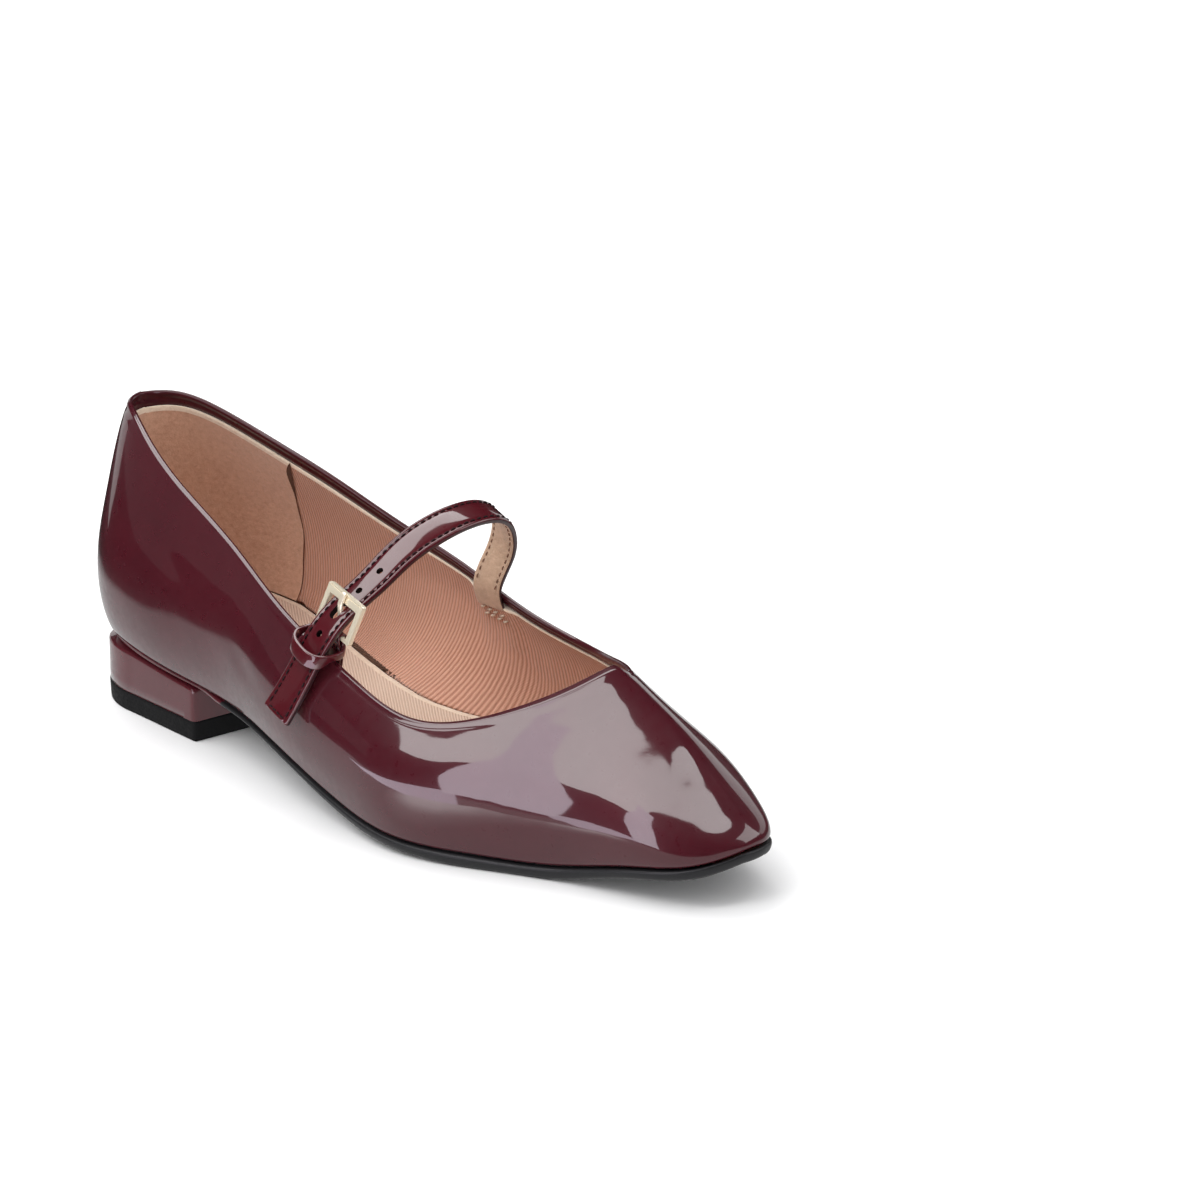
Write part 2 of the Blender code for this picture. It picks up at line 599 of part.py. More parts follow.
B_MID, B_DOWN, B_ACROSS, B_OUT = buckle_axes()


def in_buckle(down, across, out):
    return B_MID + B_DOWN * down + B_ACROSS * across + B_OUT * out


def make_frame():
    """One rectangular ring: wide nose bar, two rails and the thin hidden bar."""
    nose, thick = NOSE_BAR
    rail, _ = RAIL
    r = BAR_RADIUS
    x0, x1 = BUCKLE_HALF - rail, BUCKLE_HALF
    corner = [math.pi / 2 * i / 3 for i in range(4)]
    top, low = -nose / 2, BAR_AT + r
    outer, inner = [], []
    for a in corner:
        outer.append((top + 0.9 - 0.9 * math.cos(a), x1 - 0.9 + 0.9 * math.sin(a), thick / 2))
        inner.append((nose / 2 + 0.35 - 0.35 * math.cos(a), x0 - 0.35 + 0.35 * math.sin(a), thick / 2))
    ring_o = outer + [(low - 1.6, x1, thick / 2)]
    ring_i = inner + [(BAR_AT - r - 0.6, x0, thick / 2)]
    for a in corner:
        ring_o.append((low - 0.8 + 0.8 * math.sin(a), x1 - 0.8 + 0.8 * math.cos(a), r))
        ring_i.append((BAR_AT - r - 0.3 + 0.3 * math.sin(a), x0 - 0.3 + 0.3 * math.cos(a), r))
    ring_o += [(d, -x, z) for d, x, z in ring_o[::-1]]
    ring_i += [(d, -x, z) for d, x, z in ring_i[::-1]]
    sections = []
    for (od, oa, oh), (idn, ia, ih) in zip(ring_o, ring_i):
        o, i = np.array((od, oa)), np.array((idn, ia))
        u = unit(i - o)
        h = (oh + ih) / 2
        c = 0.28
        pts = [(o, -h + c), (o + u * c, -h), (i - u * c, -h), (i, -h + c), (i, h - c), (i - u * c, h), (o + u * c, h), (o, h - c)]
        sections.append([in_buckle(p[0], p[1], z) for p, z in pts])
    return solid("buckle_frame", *loft(sections, closed=True), GOLD, sharp=40)


def make_prong():
    """Flat tongue: open hook round the hidden bar, then straight up through the strap's hole to
    the top of the nose bar."""
    w, th = PRONG
    r = BAR_RADIUS + 0.2 + th / 2
    top = NOSE_BAR[1] / 2 + 0.15 + th / 2
    path = [(BAR_AT + r * math.cos(a), r * math.sin(a)) for a in np.radians(np.linspace(140, -96, 12))]
    path += [(BAR_AT - 2.4, -0.95), (BAR_AT - 4.0, -0.35), (4.6, 0.25), (3.0, 0.85), (1.6, top), (0.4, top + .05), (-0.9, top), (-1.35, top - .3)]
    p = np.array(path)
    t = unit(np.gradient(p, axis=0))
    sections = []
    for i, ((d, h), (td, th_)) in enumerate(zip(p, t)):
        half = w / 2 * (0.72 if i == len(p) - 1 else 1.0)
        flat = th / 2 * (0.6 if i in (0, len(p) - 1) else 1.0)
        out = B_DOWN * -th_ + B_OUT * td
        sections.append(bar_section(in_buckle(d, 0, h), B_ACROSS, out, half, flat, 0.22))
    return solid("buckle_prong", *loft(sections), GOLD, sharp=40)


def make_tab():
    """Short folded strap: from inside the lateral quarter up round the hidden bar and back."""
    r = BAR_RADIUS + 0.2 + TAB_THIN
    off = TAB_THIN + 0.1
    leg = np.array(TAB_PATH)
    d = np.linspace(0, 1, 14)
    k = np.linspace(0, 1, len(leg))
    mid = np.stack([spline(k, leg[:, i], d) for i in (0, 1)], -1)
    t = unit(np.gradient(mid, axis=0))
    n = np.stack([-t[:, 1], t[:, 0]], -1)
    spread = off + (r - off) * ease(0.16, 0.0, d)[:, None] * 0.55
    up = (mid + n * spread)[::-1]
    dn = mid - n * spread
    a = np.radians(np.linspace(52, 308, 15))
    loop = np.stack([BAR_AT + r * np.cos(a), r * np.sin(a)], -1)
    p = np.concatenate([up, loop, dn])
    t = unit(np.gradient(p, axis=0))
    sections = [bar_section(in_buckle(q[0], TAB_SIDE, q[1]), B_ACROSS, B_OUT * v[0] - B_DOWN * v[1], TAB_HALF, TAB_THIN, 0.15)
                for q, v in zip(p, t)]
    ob = solid("buckle_tab", *loft(sections), PATENT, sharp=35)
    w = PRONG[0] / 2 + 0.3
    box = [(-w, -2.3), (w, -2.3), (w, 2.3), (-w, 2.3)]
    pin = solid("prong_slot", *loft([[in_buckle(z, x, y) for x, y in box] for z in (BAR_AT - 2.4, BAR_AT + 2.35)]), GOLD)
    pin.hide_render = True
    pin.display_type = "WIRE"
    m = ob.modifiers.new("prong_slot", "BOOLEAN")
    m.operation = "DIFFERENCE"
    m.solver = "EXACT"
    m.object = pin
    return ob, pin


def make_keeper():
    """Loose loop of the same leather standing on the collar's edge round the strap's tail and the tab."""
    lean, droop = math.radians(KEEPER_LEAN), math.radians(KEEPER_DROOP)
    across = np.array((math.cos(lean), 0, -math.sin(lean)))
    axis = unit(np.array((math.sin(lean) * math.cos(droop), -math.sin(droop), math.cos(lean) * math.cos(droop))))
    out = np.cross(across, axis)
    turn = math.radians(KEEPER_TURN)
    across, out = across * math.cos(turn) + out * math.sin(turn), out * math.cos(turn) - across * math.sin(turn)
    half_w, half_d = KEEPER_HALF
    a = np.linspace(0, math.tau, 81)[:-1]
    e = 2 / 4.0
    x = half_w * np.sign(np.cos(a)) * np.abs(np.cos(a)) ** e
    y = half_d * np.sign(np.sin(a)) * np.abs(np.sin(a)) ** e
    p = np.stack([x, y], -1)
    step = np.concatenate([[0], np.cumsum(np.linalg.norm(np.diff(np.vstack([p, p[:1]]), axis=0), axis=1))])
    even = np.linspace(0, step[-1], 45)[:-1]
    p = np.stack([np.interp(even, step, np.append(p[:, i], p[0, i])) for i in (0, 1)], -1)
    t = unit(np.roll(p, -1, 0) - np.roll(p, 1, 0))
    mid = np.array(KEEPER_MID)
    side, front, back = KEEPER_BAND
    slant = unit(np.array(KEEPER_SLANT))
    sections = []
    for q, v in zip(p, t):
        more = (front if q[1] > 0 else back) - side
        band = side + more * float(ease(0.35, 0.95, abs(q[1]) / half_d))
        f = float(ease(-0.4, 0.4, q[1] / half_d))
        up = unit(axis * (1 - f) + slant * f)
        c = mid + across * q[0] + out * q[1] - up * (band - side) * 0.4
        sections.append(bar_section(c, up, across * v[1] - out * v[0], band / 2, KEEPER_THIN, 0.2))
    return solid("strap_keeper", *loft(sections, closed=True), PATENT, sharp=35)


# ------------------------------------------------------------------ build
make_upper()
make_sole()
make_insole()
make_heel()
strap_ob, pins = make_strap()
make_frame()
make_prong()
tab_ob, slot = make_tab()
make_keeper()

bpy.context.view_layer.update()
graph = bpy.context.evaluated_depsgraph_get()
for ob in (strap_ob, tab_ob):
    cut = bpy.data.meshes.new_from_object(ob.evaluated_get(graph))
    ob.modifiers.clear()
    ob.data = cut
    cut.set_sharp_from_angle(angle=math.radians(35))
for pin in pins + [slot]:
    bpy.data.objects.remove(pin, do_unlink=True)
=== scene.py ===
"""Looks of the right pointed toe flat: patent leather shell, linings, strap, buckle, heel and sole.

Every surface comes from the same last, strap and buckle functions as the CAD solids, at a finer
grain. Tables are in millimetres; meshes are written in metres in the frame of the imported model.
"""
import json
import math

import bpy
import bmesh
import numpy as np
from mathutils import Matrix, Vector

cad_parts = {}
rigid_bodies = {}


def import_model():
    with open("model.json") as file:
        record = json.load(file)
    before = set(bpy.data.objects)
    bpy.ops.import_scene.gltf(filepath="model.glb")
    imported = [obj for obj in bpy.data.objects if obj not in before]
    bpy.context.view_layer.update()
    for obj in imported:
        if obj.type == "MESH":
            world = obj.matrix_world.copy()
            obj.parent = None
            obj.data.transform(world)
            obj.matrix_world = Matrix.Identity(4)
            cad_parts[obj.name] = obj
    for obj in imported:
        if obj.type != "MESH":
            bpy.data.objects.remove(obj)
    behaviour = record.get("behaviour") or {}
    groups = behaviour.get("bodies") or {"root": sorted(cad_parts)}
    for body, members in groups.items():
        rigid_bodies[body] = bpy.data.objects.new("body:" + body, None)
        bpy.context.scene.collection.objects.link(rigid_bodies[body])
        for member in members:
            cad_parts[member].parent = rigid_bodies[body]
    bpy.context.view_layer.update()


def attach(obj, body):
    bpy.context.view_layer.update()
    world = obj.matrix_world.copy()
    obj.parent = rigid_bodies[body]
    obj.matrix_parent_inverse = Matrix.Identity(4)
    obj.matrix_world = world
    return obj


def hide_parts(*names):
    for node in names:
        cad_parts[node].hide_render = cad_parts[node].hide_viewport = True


for ob in list(bpy.data.objects):
    bpy.data.objects.remove(ob, do_unlink=True)

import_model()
MM = 0.001

# ------------------------------------------------------------------ named sizes (mm), as in the CAD
WALL = 1.8                # upper: leather, backing and lining together
GAP = 0.3                 # air between neighbouring pieces

HEEL_ROUND = 185.0        # how fast the half widths open at the back of the heel, per station
TOE_ROUND = 93.0          # the same at the toe; a small value gives the sharp point
TOE_SWING = -0.8          # the point of the toe leans to the lateral side
SWING_FROM = 90.0
BACK_CURVE_Z = 43.5       # height at which the back of the heel bulges most
BACK_CURVE_TOP = 1.1      # how far the back leans in 40 mm above that height
BACK_CURVE_SEAT = 1.7     # how far it tucks in 25 mm below it
BACK_CURVE_REACH = 60.0
TOE_TUCK = 3.0            # the feather edge lies behind the nose of the toe
TOE_TUCK_REACH = 20.0
TOE_TUCK_HEIGHT = 6.0

UPPER_COLUMNS = 48        # how finely each side of the upper is divided
UPPER_ROWS = 13
SOLE_STATIONS = 46

SEAT_INSET = -0.3         # sole edge against the upper at the heel seat
SOLE_EDGE = 0.6           # and from the waist to the toe
SOLE_TUCK = 0.8           # the sole's underside is narrower than its top
SOLE_BELLY = 1.5          # the tread is rounded across
SOLE_FLAT = 0.3           # depth of the flat tread that stands on the ground
INSOLE = 2.2
INSOLE_INSET = 2.4

HEEL_BREAST = 72.0        # the heel's front face, measured from the back of the shoe
HEEL_BREAST_LATERAL = 62.5
HEEL_BREAST_MEDIAL = 71.0
HEEL_HALF = 26.7
HEEL_CENTRE_Y = -4.2
HEEL_ROUND_LENGTH = 26.9  # length of the rounded back of the heel
HEEL_BACK = 2.8
HEEL_FLARE = 0.02
LIFT_THICK = 6.0

STRAP_HALF = 5.35         # instep strap: half width and half thickness
STRAP_THIN = 0.85
STRAP_SKIVED = 0.5        # half thickness where it is sewn in
HOLES_AT = (79.6, 87.5, 103.2)   # along the strap from its sewn end
HOLE = 1.2                # radius of the punched holes
PRONG_HOLE_AT = 95.4
PRONG_SLOT = (2.7, 1.6)  # half length and half width of the hole the prong goes through

BUCKLE_AT = 91.5          # where the nose bar crosses the strap
BUCKLE_UP = 2.3           # nose bar above the middle of the strap
BUCKLE_SIDE = 0.5
BUCKLE_TILT = 34.0        # degrees between the frame and the strap
BUCKLE_SKEW = -1.0
BUCKLE_HALF = 8.6         # half of the outer width
NOSE_BAR = (2.8, 1.5)     # width and thickness of the wide bar
RAIL = (1.9, 1.5)
BAR_AT = 10.0             # hidden bar, from the middle of the nose bar
BAR_RADIUS = 0.6
PRONG = (1.9, 0.85)       # width and thickness

TAB_HALF = 4.8            # half width and half thickness of one layer
TAB_THIN = 0.3
TAB_SIDE = 0.0
# middle of the two layers, below the bar: down and out in the buckle's own axes
TAB_PATH = ((11.3, -0.2), (13.4, -1.1), (16.4, -2.4), (19.8, -3.0), (23.2, -2.2))

KEEPER_MID = (127.5, -36.1, 47.8)
KEEPER_LEAN = 18.4        # degrees; it follows the slope of the collar's edge
KEEPER_DROOP = 6.0        # degrees; its outer part hangs lower
KEEPER_TURN = 10.0        # degrees; it follows the strap's width
KEEPER_HALF = (7.3, 6.0)  # half width and half depth of its middle line
KEEPER_BAND = (1.9, 3.8, 2.4)   # width at its ends, in front and at the back
KEEPER_SLANT = (0.2, 0.25, 0.95)  # the band's own direction, nearly along the tail
KEEPER_THIN = 0.5

SHIFT_X = -128.875          # puts the middle of the whole shoe over the origin
SHIFT_Y = 4.87

# ------------------------------------------------------------------ section tables (mm)
# One row per cross section, heel to toe: half widths, height above the feather edge, height of
# the lateral feather edge above the ground, how much higher the medial one is, sole thickness.
SECTION_COLUMNS = ("x", "lateral", "medial", "height", "feather", "med_rise", "sole_thick")
SECTIONS = (
    (0.0, 0.0, 0.0, 71.1, 20.2, -0.3, 2.0),
    (8.0, 22.4, 19.1, 71.1, 21.4, 0.7, 2.0),
    (24.0, 31.8, 26.3, 70.0, 21.7, 1.2, 2.0),
    (50.0, 34.2, 28.9, 69.4, 19.0, 1.6, 1.6),
    (82.0, 35.6, 30.2, 66.7, 16.5, 3.7, 1.3),
    (114.0, 41.8, 32.6, 59.9, 12.6, 7.1, 1.7),
    (142.0, 45.2, 34.9, 57.0, 6.9, 5.3, 2.6),
    (167.0, 45.9, 38.8, 54.1, 4.3, 2.5, 2.9),
    (190.0, 37.7, 31.8, 53.1, 3.7, 2.2, 3.7),
    (211.0, 28.6, 25.3, 43.2, 4.2, 3.2, 3.4),
    (231.0, 23.5, 19.5, 28.4, 8.4, 2.2, 2.8),
    (250.0, 16.0, 11.5, 10.8, 11.8, 1.1, 3.1),
    (260.0, 0.0, 0.0, 0.0, 14.9, -0.2, 3.2),
)

# Fullness of the sections: how far out and how high the skin is led, as shares of the half
# width and of the height, from the feather edge to the ridge.
FULLNESS_COLUMNS = ("x", "edge_in", "low_out", "low_up", "mid_out", "mid_up", "high_out", "high_up", "top_out", "top_up")
FULLNESS = (
    (0.0, 0.93, 1.05, 0.09, 1.07, 0.35, 0.88, 0.55, 0.49, 0.97),
    (30.0, 0.93, 1.04, 0.10, 1.07, 0.34, 0.89, 0.57, 0.47, 0.98),
    (70.0, 0.94, 1.03, 0.11, 1.07, 0.34, 0.89, 0.58, 0.46, 0.98),
    (140.0, 0.97, 1.00, 0.13, 1.05, 0.37, 0.82, 0.56, 0.40, 0.97),
    (200.0, 0.98, 1.03, 0.15, 1.01, 0.42, 0.77, 0.57, 0.19, 0.95),
    (265.0, 0.95, 1.03, 0.16, 0.98, 0.45, 0.86, 0.74, 0.37, 0.94),
)

# The collar's edge: how far up the section it runs (0 at the feather edge, 1 on the ridge),
# first along the quarters, then round the throat.
QUARTER_COLUMNS = ("x", "up_lateral", "up_medial")
QUARTER = (
    (0.0, 0.808, 0.808),
    (4.0, 0.787, 0.788),
    (14.0, 0.762, 0.744),
    (35.0, 0.68, 0.67),
    (65.0, 0.59, 0.59),
    (100.0, 0.52, 0.47),
    (140.0, 0.49, 0.44),
)
THROAT_COLUMNS = ("x_lateral", "x_medial", "up")
THROAT = (
    (175.9, 166.1, 0.50),
    (202.1, 204.7, 0.75),
    (205.2, 208.2, 0.90),
    (205.6, 205.6, 1.00),
)

# The strap's middle line, from its sewn end inside the medial quarter, over the instep, to the
# free tail outside the lateral quarter. twist (radians) turns its toe-side edge inwards.
STRAP_COLUMNS = ("x", "y", "z", "twist")
STRAP = (
    (126.1, 28.7, 40.8, 0.00),
    (127.0, 26.5, 48.6, -0.05),
    (130.5, 28.8, 58.5, 0.02),
    (134.2, 26.9, 67.8, 0.27),
    (136.9, 19.8, 73.8, 0.33),
    (137.0, 9.4, 75.1, 0.33),
    (135.9, -1.3, 73.1, 0.32),
    (134.2, -11.6, 68.6, 0.21),
    (132.6, -21.0, 62.3, 0.11),
    (130.0, -30.1, 56.0, 0.07),
    (127.8, -37.4, 48.0, 0.03),
    (125.5, -42.9, 38.4, 0.03),
    (121.8, -47.8, 28.7, 0.12),
)


# ------------------------------------------------------------------ curve maths
def column(table, columns, name):
    i = columns.index(name)
    return np.array([row[i] for row in table], float)


def spline(xk, yk, x, start_slope=None, end_slope=None):
    """Cubic spline through (xk, yk), natural at an end whose slope is not given."""
    xk = np.asarray(xk, float)
    yk = np.asarray(yk, float)
    x = np.clip(np.asarray(x, float), xk[0], xk[-1])
    n = len(xk)
    h = np.diff(xk)
    d = np.diff(yk) / h
    a = np.zeros((n, n))
    r = np.zeros(n)
    for i in range(1, n - 1):
        a[i, i - 1:i + 2] = h[i - 1], 2 * (h[i - 1] + h[i]), h[i]
        r[i] = 6 * (d[i] - d[i - 1])
    a[0, 0] = a[-1, -1] = 1.0
    if start_slope is not None:
        a[0, :2] = 2 * h[0], h[0]
        r[0] = 6 * (d[0] - start_slope)
    if end_slope is not None:
        a[-1, -2:] = h[-1], 2 * h[-1]
        r[-1] = 6 * (end_slope - d[-1])
    m = np.linalg.solve(a, r)
    i = np.clip(np.searchsorted(xk, x, side="right") - 1, 0, n - 2)
    t = x - xk[i]
    b = d[i] - h[i] * (2 * m[i] + m[i + 1]) / 6
    return yk[i] + b * t + m[i] / 2 * t ** 2 + (m[i + 1] - m[i]) / (6 * h[i]) * t ** 3


def clamped_basis(n, q):
    """Weights of n control points of a clamped cubic B-spline at q in 0..1."""
    q = np.clip(np.asarray(q, float), 0, 1 - 1e-12)
    knots = np.concatenate([np.zeros(3), np.linspace(0, 1, n - 2), np.ones(3)])
    b = ((q[:, None] >= knots[:-1]) & (q[:, None] < knots[1:])).astype(float)
    for d in range(1, 4):
        c = np.zeros((len(q), len(knots) - 1 - d))
        for i in range(c.shape[1]):
            if knots[i + d] > knots[i]:
                c[:, i] += (q - knots[i]) / (knots[i + d] - knots[i]) * b[:, i]
            if knots[i + d + 1] > knots[i + 1]:
                c[:, i] += (knots[i + d + 1] - q) / (knots[i + d + 1] - knots[i + 1]) * b[:, i + 1]
        b = c
    return b


def ease(a, b, x):
    t = np.clip((x - a) / (b - a), 0, 1)
    return t * t * (3 - 2 * t)


def unit(v):
    v = np.asarray(v, float)
    return v / np.maximum(np.linalg.norm(v, axis=-1, keepdims=True), 1e-12)


# ------------------------------------------------------------------ the last
LATERAL, MEDIAL = -1, 1
X_TOE = SECTIONS[-1][0]
SEC = {name: column(SECTIONS, SECTION_COLUMNS, name) for name in SECTION_COLUMNS}
FORM = {name: column(FULLNESS, FULLNESS_COLUMNS, name) for name in FULLNESS_COLUMNS}


def s_of_x(x):
    """Station number 0..1; it is dense at the heel and at the toe, where the outline turns."""
    return np.arccos(np.clip(1 - 2 * np.asarray(x, float) / X_TOE, -1, 1)) / math.pi


def x_of_s(s):
    return X_TOE * (1 - np.cos(math.pi * np.asarray(s, float))) / 2


S_ROWS = s_of_x(SEC["x"])


def last_rows(s):
    s = np.asarray(s, float)
    x = x_of_s(s)
    r = {}
    for name in ("lateral", "medial"):
        r[name] = spline(S_ROWS, SEC[name], s, HEEL_ROUND, -TOE_ROUND)
    r["height"] = spline(S_ROWS, SEC["height"], s, 0.0)
    for name in ("feather", "med_rise", "sole_thick"):
        r[name] = spline(SEC["x"], SEC[name], x)
    r["centre"] = TOE_SWING * np.clip((x - SWING_FROM) / (X_TOE - SWING_FROM), 0, 1) ** 3
    for name in FULLNESS_COLUMNS[1:]:
        r[name] = spline(FORM["x"], FORM[name], x)
    return r


def last_point(s, q, side):
    """Point of the upper's outer face: s along the foot, q from 0 at the feather edge to 1 on
    the ridge of the instep, on the lateral or the medial side."""
    s, q, side = (np.ravel(a).astype(float) for a in np.broadcast_arrays(s, q, side))
    r = last_rows(s)
    out = [r["edge_in"], r["low_out"], r["mid_out"], r["high_out"], r["top_out"]]
    up = [0 * s, r["low_up"], r["mid_up"], r["high_up"], r["top_up"]]
    y = np.zeros((len(s), 11))
    z = np.zeros((len(s), 11))
    for i in range(5):
        y[:, i], y[:, 10 - i] = -r["lateral"] * out[i], r["medial"] * out[i]
        z[:, i] = z[:, 10 - i] = r["height"] * up[i]
    z[:, 5] = r["height"]
    b = clamped_basis(11, np.where(side < 0, q / 2, 1 - q / 2))
    across = (b * y).sum(1)
    h = (b * z).sum(1)
    share = np.clip((across + r["lateral"]) / np.maximum(r["lateral"] + r["medial"], 1e-6), -.3, 1.3)
    z = h + r["feather"] + r["med_rise"] * share
    x = x_of_s(s)
    dz = z - BACK_CURVE_Z
    curve = np.where(dz > 0, BACK_CURVE_TOP * (np.abs(dz) / 40) ** 2, BACK_CURVE_SEAT * (np.abs(dz) / 25) ** 2)
    xs = x + curve * np.clip(1 - x / BACK_CURVE_REACH, 0, 1) ** 3
    nose = np.clip(1 - (X_TOE - x) / TOE_TUCK_REACH, 0, 1) ** 3
    xs = xs - TOE_TUCK * nose * np.exp(-(h / TOE_TUCK_HEIGHT) ** 2)
    return np.stack([xs, across + r["centre"], z], -1)




# ------------------------------------------------------------------ topline and shell grid
def topline(sigma, side):
    """s and q along the collar's edge, sigma 0 at the back of the heel, 1 at the throat."""
    name = "lateral" if side < 0 else "medial"
    x = np.concatenate([column(QUARTER, QUARTER_COLUMNS, "x"), column(THROAT, THROAT_COLUMNS, "x_" + name)])
    up = np.concatenate([column(QUARTER, QUARTER_COLUMNS, "up_" + name), column(THROAT, THROAT_COLUMNS, "up")])
    s = s_of_x(x)
    t = np.concatenate([[0], np.cumsum(np.hypot(np.diff(s) * 300, np.diff(up) * 70))])
    t /= t[-1]
    return spline(t, s, sigma, None, 0.0), spline(t, up, sigma, 0.0, None)


def shell_grid(u, tau, side):
    """Outer face of one side: u runs round the feather edge from heel to toe, tau climbs from
    the feather edge (0) to the collar (1). Towards the toe the columns swing over the nose."""
    u, tau = np.asarray(u, float), np.asarray(tau, float)[None, :]
    ss = np.linspace(0, 1, 200)
    w = last_rows(ss)["lateral" if side < 0 else "medial"]
    a = np.concatenate([[0], np.cumsum(np.hypot(np.diff(x_of_s(ss)), np.diff(w)))])
    s_f = np.interp(u, a / a[-1], ss)
    st, qt = topline(ss, side)
    edge = last_point(st, qt, side)
    b = np.concatenate([[0], np.cumsum(np.linalg.norm(np.diff(edge, axis=0), axis=1))])
    s_t, q_t = topline(np.interp(u, b / b[-1], ss), side)
    x_f, x_t = x_of_s(s_f)[:, None], x_of_s(s_t)[:, None]
    lam = 1 - np.cos(math.pi / 2 * tau)
    x_a, q_a = x_f * (1 - tau) + x_t * tau, q_t[:, None] * tau
    x_b = x_f * (1 - lam) + x_t * lam
    y_f = np.interp(s_f, ss, w)[:, None]
    y_t = (np.interp(s_t, ss, w) * np.cos(math.pi / 2 * q_t))[:, None]
    w_b = np.maximum(np.interp(s_of_x(x_b), ss, w), 1e-9)
    q_b = 2 / math.pi * np.arccos(np.clip((y_f * (1 - lam) + y_t * lam) / w_b, 0, 1))
    k = ease(0.72, 0.93, u)[:, None]
    x, q = x_a * (1 - k) + x_b * k, q_a * (1 - k) + q_b * k
    ridge = u > 1 - 1e-9
    q[ridge] = np.where(np.broadcast_to(tau, q[ridge].shape) < 1e-9, q[ridge], 1.0)
    return last_point(s_of_x(x), q, side).reshape(len(u), tau.shape[1], 3)


def ring_grid(columns, rows):
    """Outer face all round: lateral side to the toe, then the medial side back to the heel."""
    t = np.linspace(0, 1, columns)
    u = 0.5 * t + 0.5 * (1 - np.cos(math.pi * t)) / 2
    tau = np.linspace(0, 1, rows)
    lat, med = shell_grid(u, tau, LATERAL), shell_grid(u, tau, MEDIAL)
    return np.concatenate([lat, med[-2:0:-1]], 0)


def ring_normals(g):
    du = np.roll(g, -1, 0) - np.roll(g, 1, 0)
    return unit(np.cross(du, np.gradient(g, axis=1)))


EDGE_S = np.linspace(0, 1, 1201)
EDGE = {side: last_point(EDGE_S, 0 * EDGE_S, side) for side in (LATERAL, MEDIAL)}


def outline(s, side, grow=0.0):
    """Feather edge in plan, moved outwards by grow."""
    edge = EDGE[side][:, :2]
    n = unit(np.gradient(edge, axis=0)[:, ::-1] * (-side, side))
    p, m = (np.stack([np.interp(s, EDGE_S, a[:, i]) for i in (0, 1)], -1) for a in (edge, n))
    m[s < 1e-9] = (-1, 0)
    m[s > 1 - 1e-9] = (1, 0)
    return p + unit(m) * np.broadcast_to(grow, s.shape)[:, None]


def foot_bed(x, y):
    """Height of the surface spanned between the lateral and the medial feather edge."""
    lat, med = ([np.interp(x, EDGE[side][:, 0], EDGE[side][:, i]) for i in (1, 2)] for side in (LATERAL, MEDIAL))
    share = np.clip((y - lat[0]) / np.maximum(med[0] - lat[0], 1e-6), 0, 1)
    return lat[1] + (med[1] - lat[1]) * share



# ------------------------------------------------------------------ heel, strap and buckle axes
def seat_underside(x, y):
    """Height just under the sole at a point of the heel seat."""
    return float(foot_bed(x, y)) - float(last_rows(s_of_x(max(x, 0.0)))["sole_thick"]) - SOLE_FLAT - GAP


def strap_frames():
    """Fine samples of the strap: distance along it, middle, direction, width and outward axes."""
    k = np.linspace(0, 1, len(STRAP))
    t = np.linspace(0, 1, 2601)
    c = np.stack([spline(k, column(STRAP, STRAP_COLUMNS, a), t) for a in ("x", "y", "z")], -1)
    twist = spline(k, column(STRAP, STRAP_COLUMNS, "twist"), t)[:, None]
    along = unit(np.gradient(c, axis=0))
    flat = unit(np.array((1.0, 0, 0)) - along[:, :1] * along)
    across = flat * np.cos(twist) + np.cross(flat, along) * np.sin(twist)
    run = np.concatenate([[0], np.cumsum(np.linalg.norm(np.diff(c, axis=0), axis=1))])
    return run, c, along, across, np.cross(along, across)


RUN, STRAP_MID, STRAP_ALONG, STRAP_ACROSS, STRAP_OUT = strap_frames()


def strap_at(d):
    """Middle, direction, width axis and outward axis of the strap, d mm from its sewn end."""
    mid = np.array([np.interp(d, RUN, STRAP_MID[:, i]) for i in range(3)])
    return (mid,) + tuple(unit([np.interp(d, RUN, a[:, i]) for i in range(3)])
                          for a in (STRAP_ALONG, STRAP_ACROSS, STRAP_OUT))


def strap_point(d, across, out):
    mid, _, w, n = strap_at(d)
    return mid + w * across + n * out


def buckle_axes():
    """Middle of the nose bar and the frame's own axes: down to the hidden bar, across, out."""
    mid, t, w, n = strap_at(BUCKLE_AT)
    tilt, skew = math.radians(BUCKLE_TILT), math.radians(BUCKLE_SKEW)
    down, out = t * math.cos(tilt) - n * math.sin(tilt), n * math.cos(tilt) + t * math.sin(tilt)
    across = w * math.cos(skew) + down * math.sin(skew)
    down = down * math.cos(skew) - w * math.sin(skew)
    return mid + n * BUCKLE_UP + w * BUCKLE_SIDE, down, across, out


B_MID, B_DOWN, B_ACROSS, B_OUT = buckle_axes()


def in_buckle(down, across, out):
    return B_MID + B_DOWN * down + B_ACROSS * across + B_OUT * out


# ------------------------------------------------------------------ looks: sizes (mm)
SKIN = 1.0                # patent leather; the lining lies behind it
BAND_IN = 1.5             # depth of the folded-in collar band's face
BAND_LONG = 7.0
ROLL = 0.82               # radius of the rolled collar edge
LINING_TOP = 4.7          # the lining's edge lies this far down inside the collar
LINING_IN = 2.1
COUNTER_IN = 2.55
COLS = 170                # columns along each side
ROWS = 60


ARCH_COLUMNS = ("x", "y")
ARCH = (                  # the sock's medial edge, cut in under the arch
    (0.0, 60.0), (16.0, 24.5), (25.6, 25.0), (33.8, 25.2), (42.5, 24.6), (51.2, 23.0), (64.0, 19.6), (78.0, 15.6), (90.4, 11.9),
    (100.2, 9.4), (109.7, 8.0), (117.1, 7.9), (122.7, 8.9), (130.4, 11.9), (138.0, 16.3), (147.0, 22.5),
    (156.0, 28.0), (166.0, 31.5), (180.0, 33.5), (200.0, 60.0), (262.0, 60.0),
)


def arch_y(x):
    return np.interp(x, *np.array(ARCH).T)


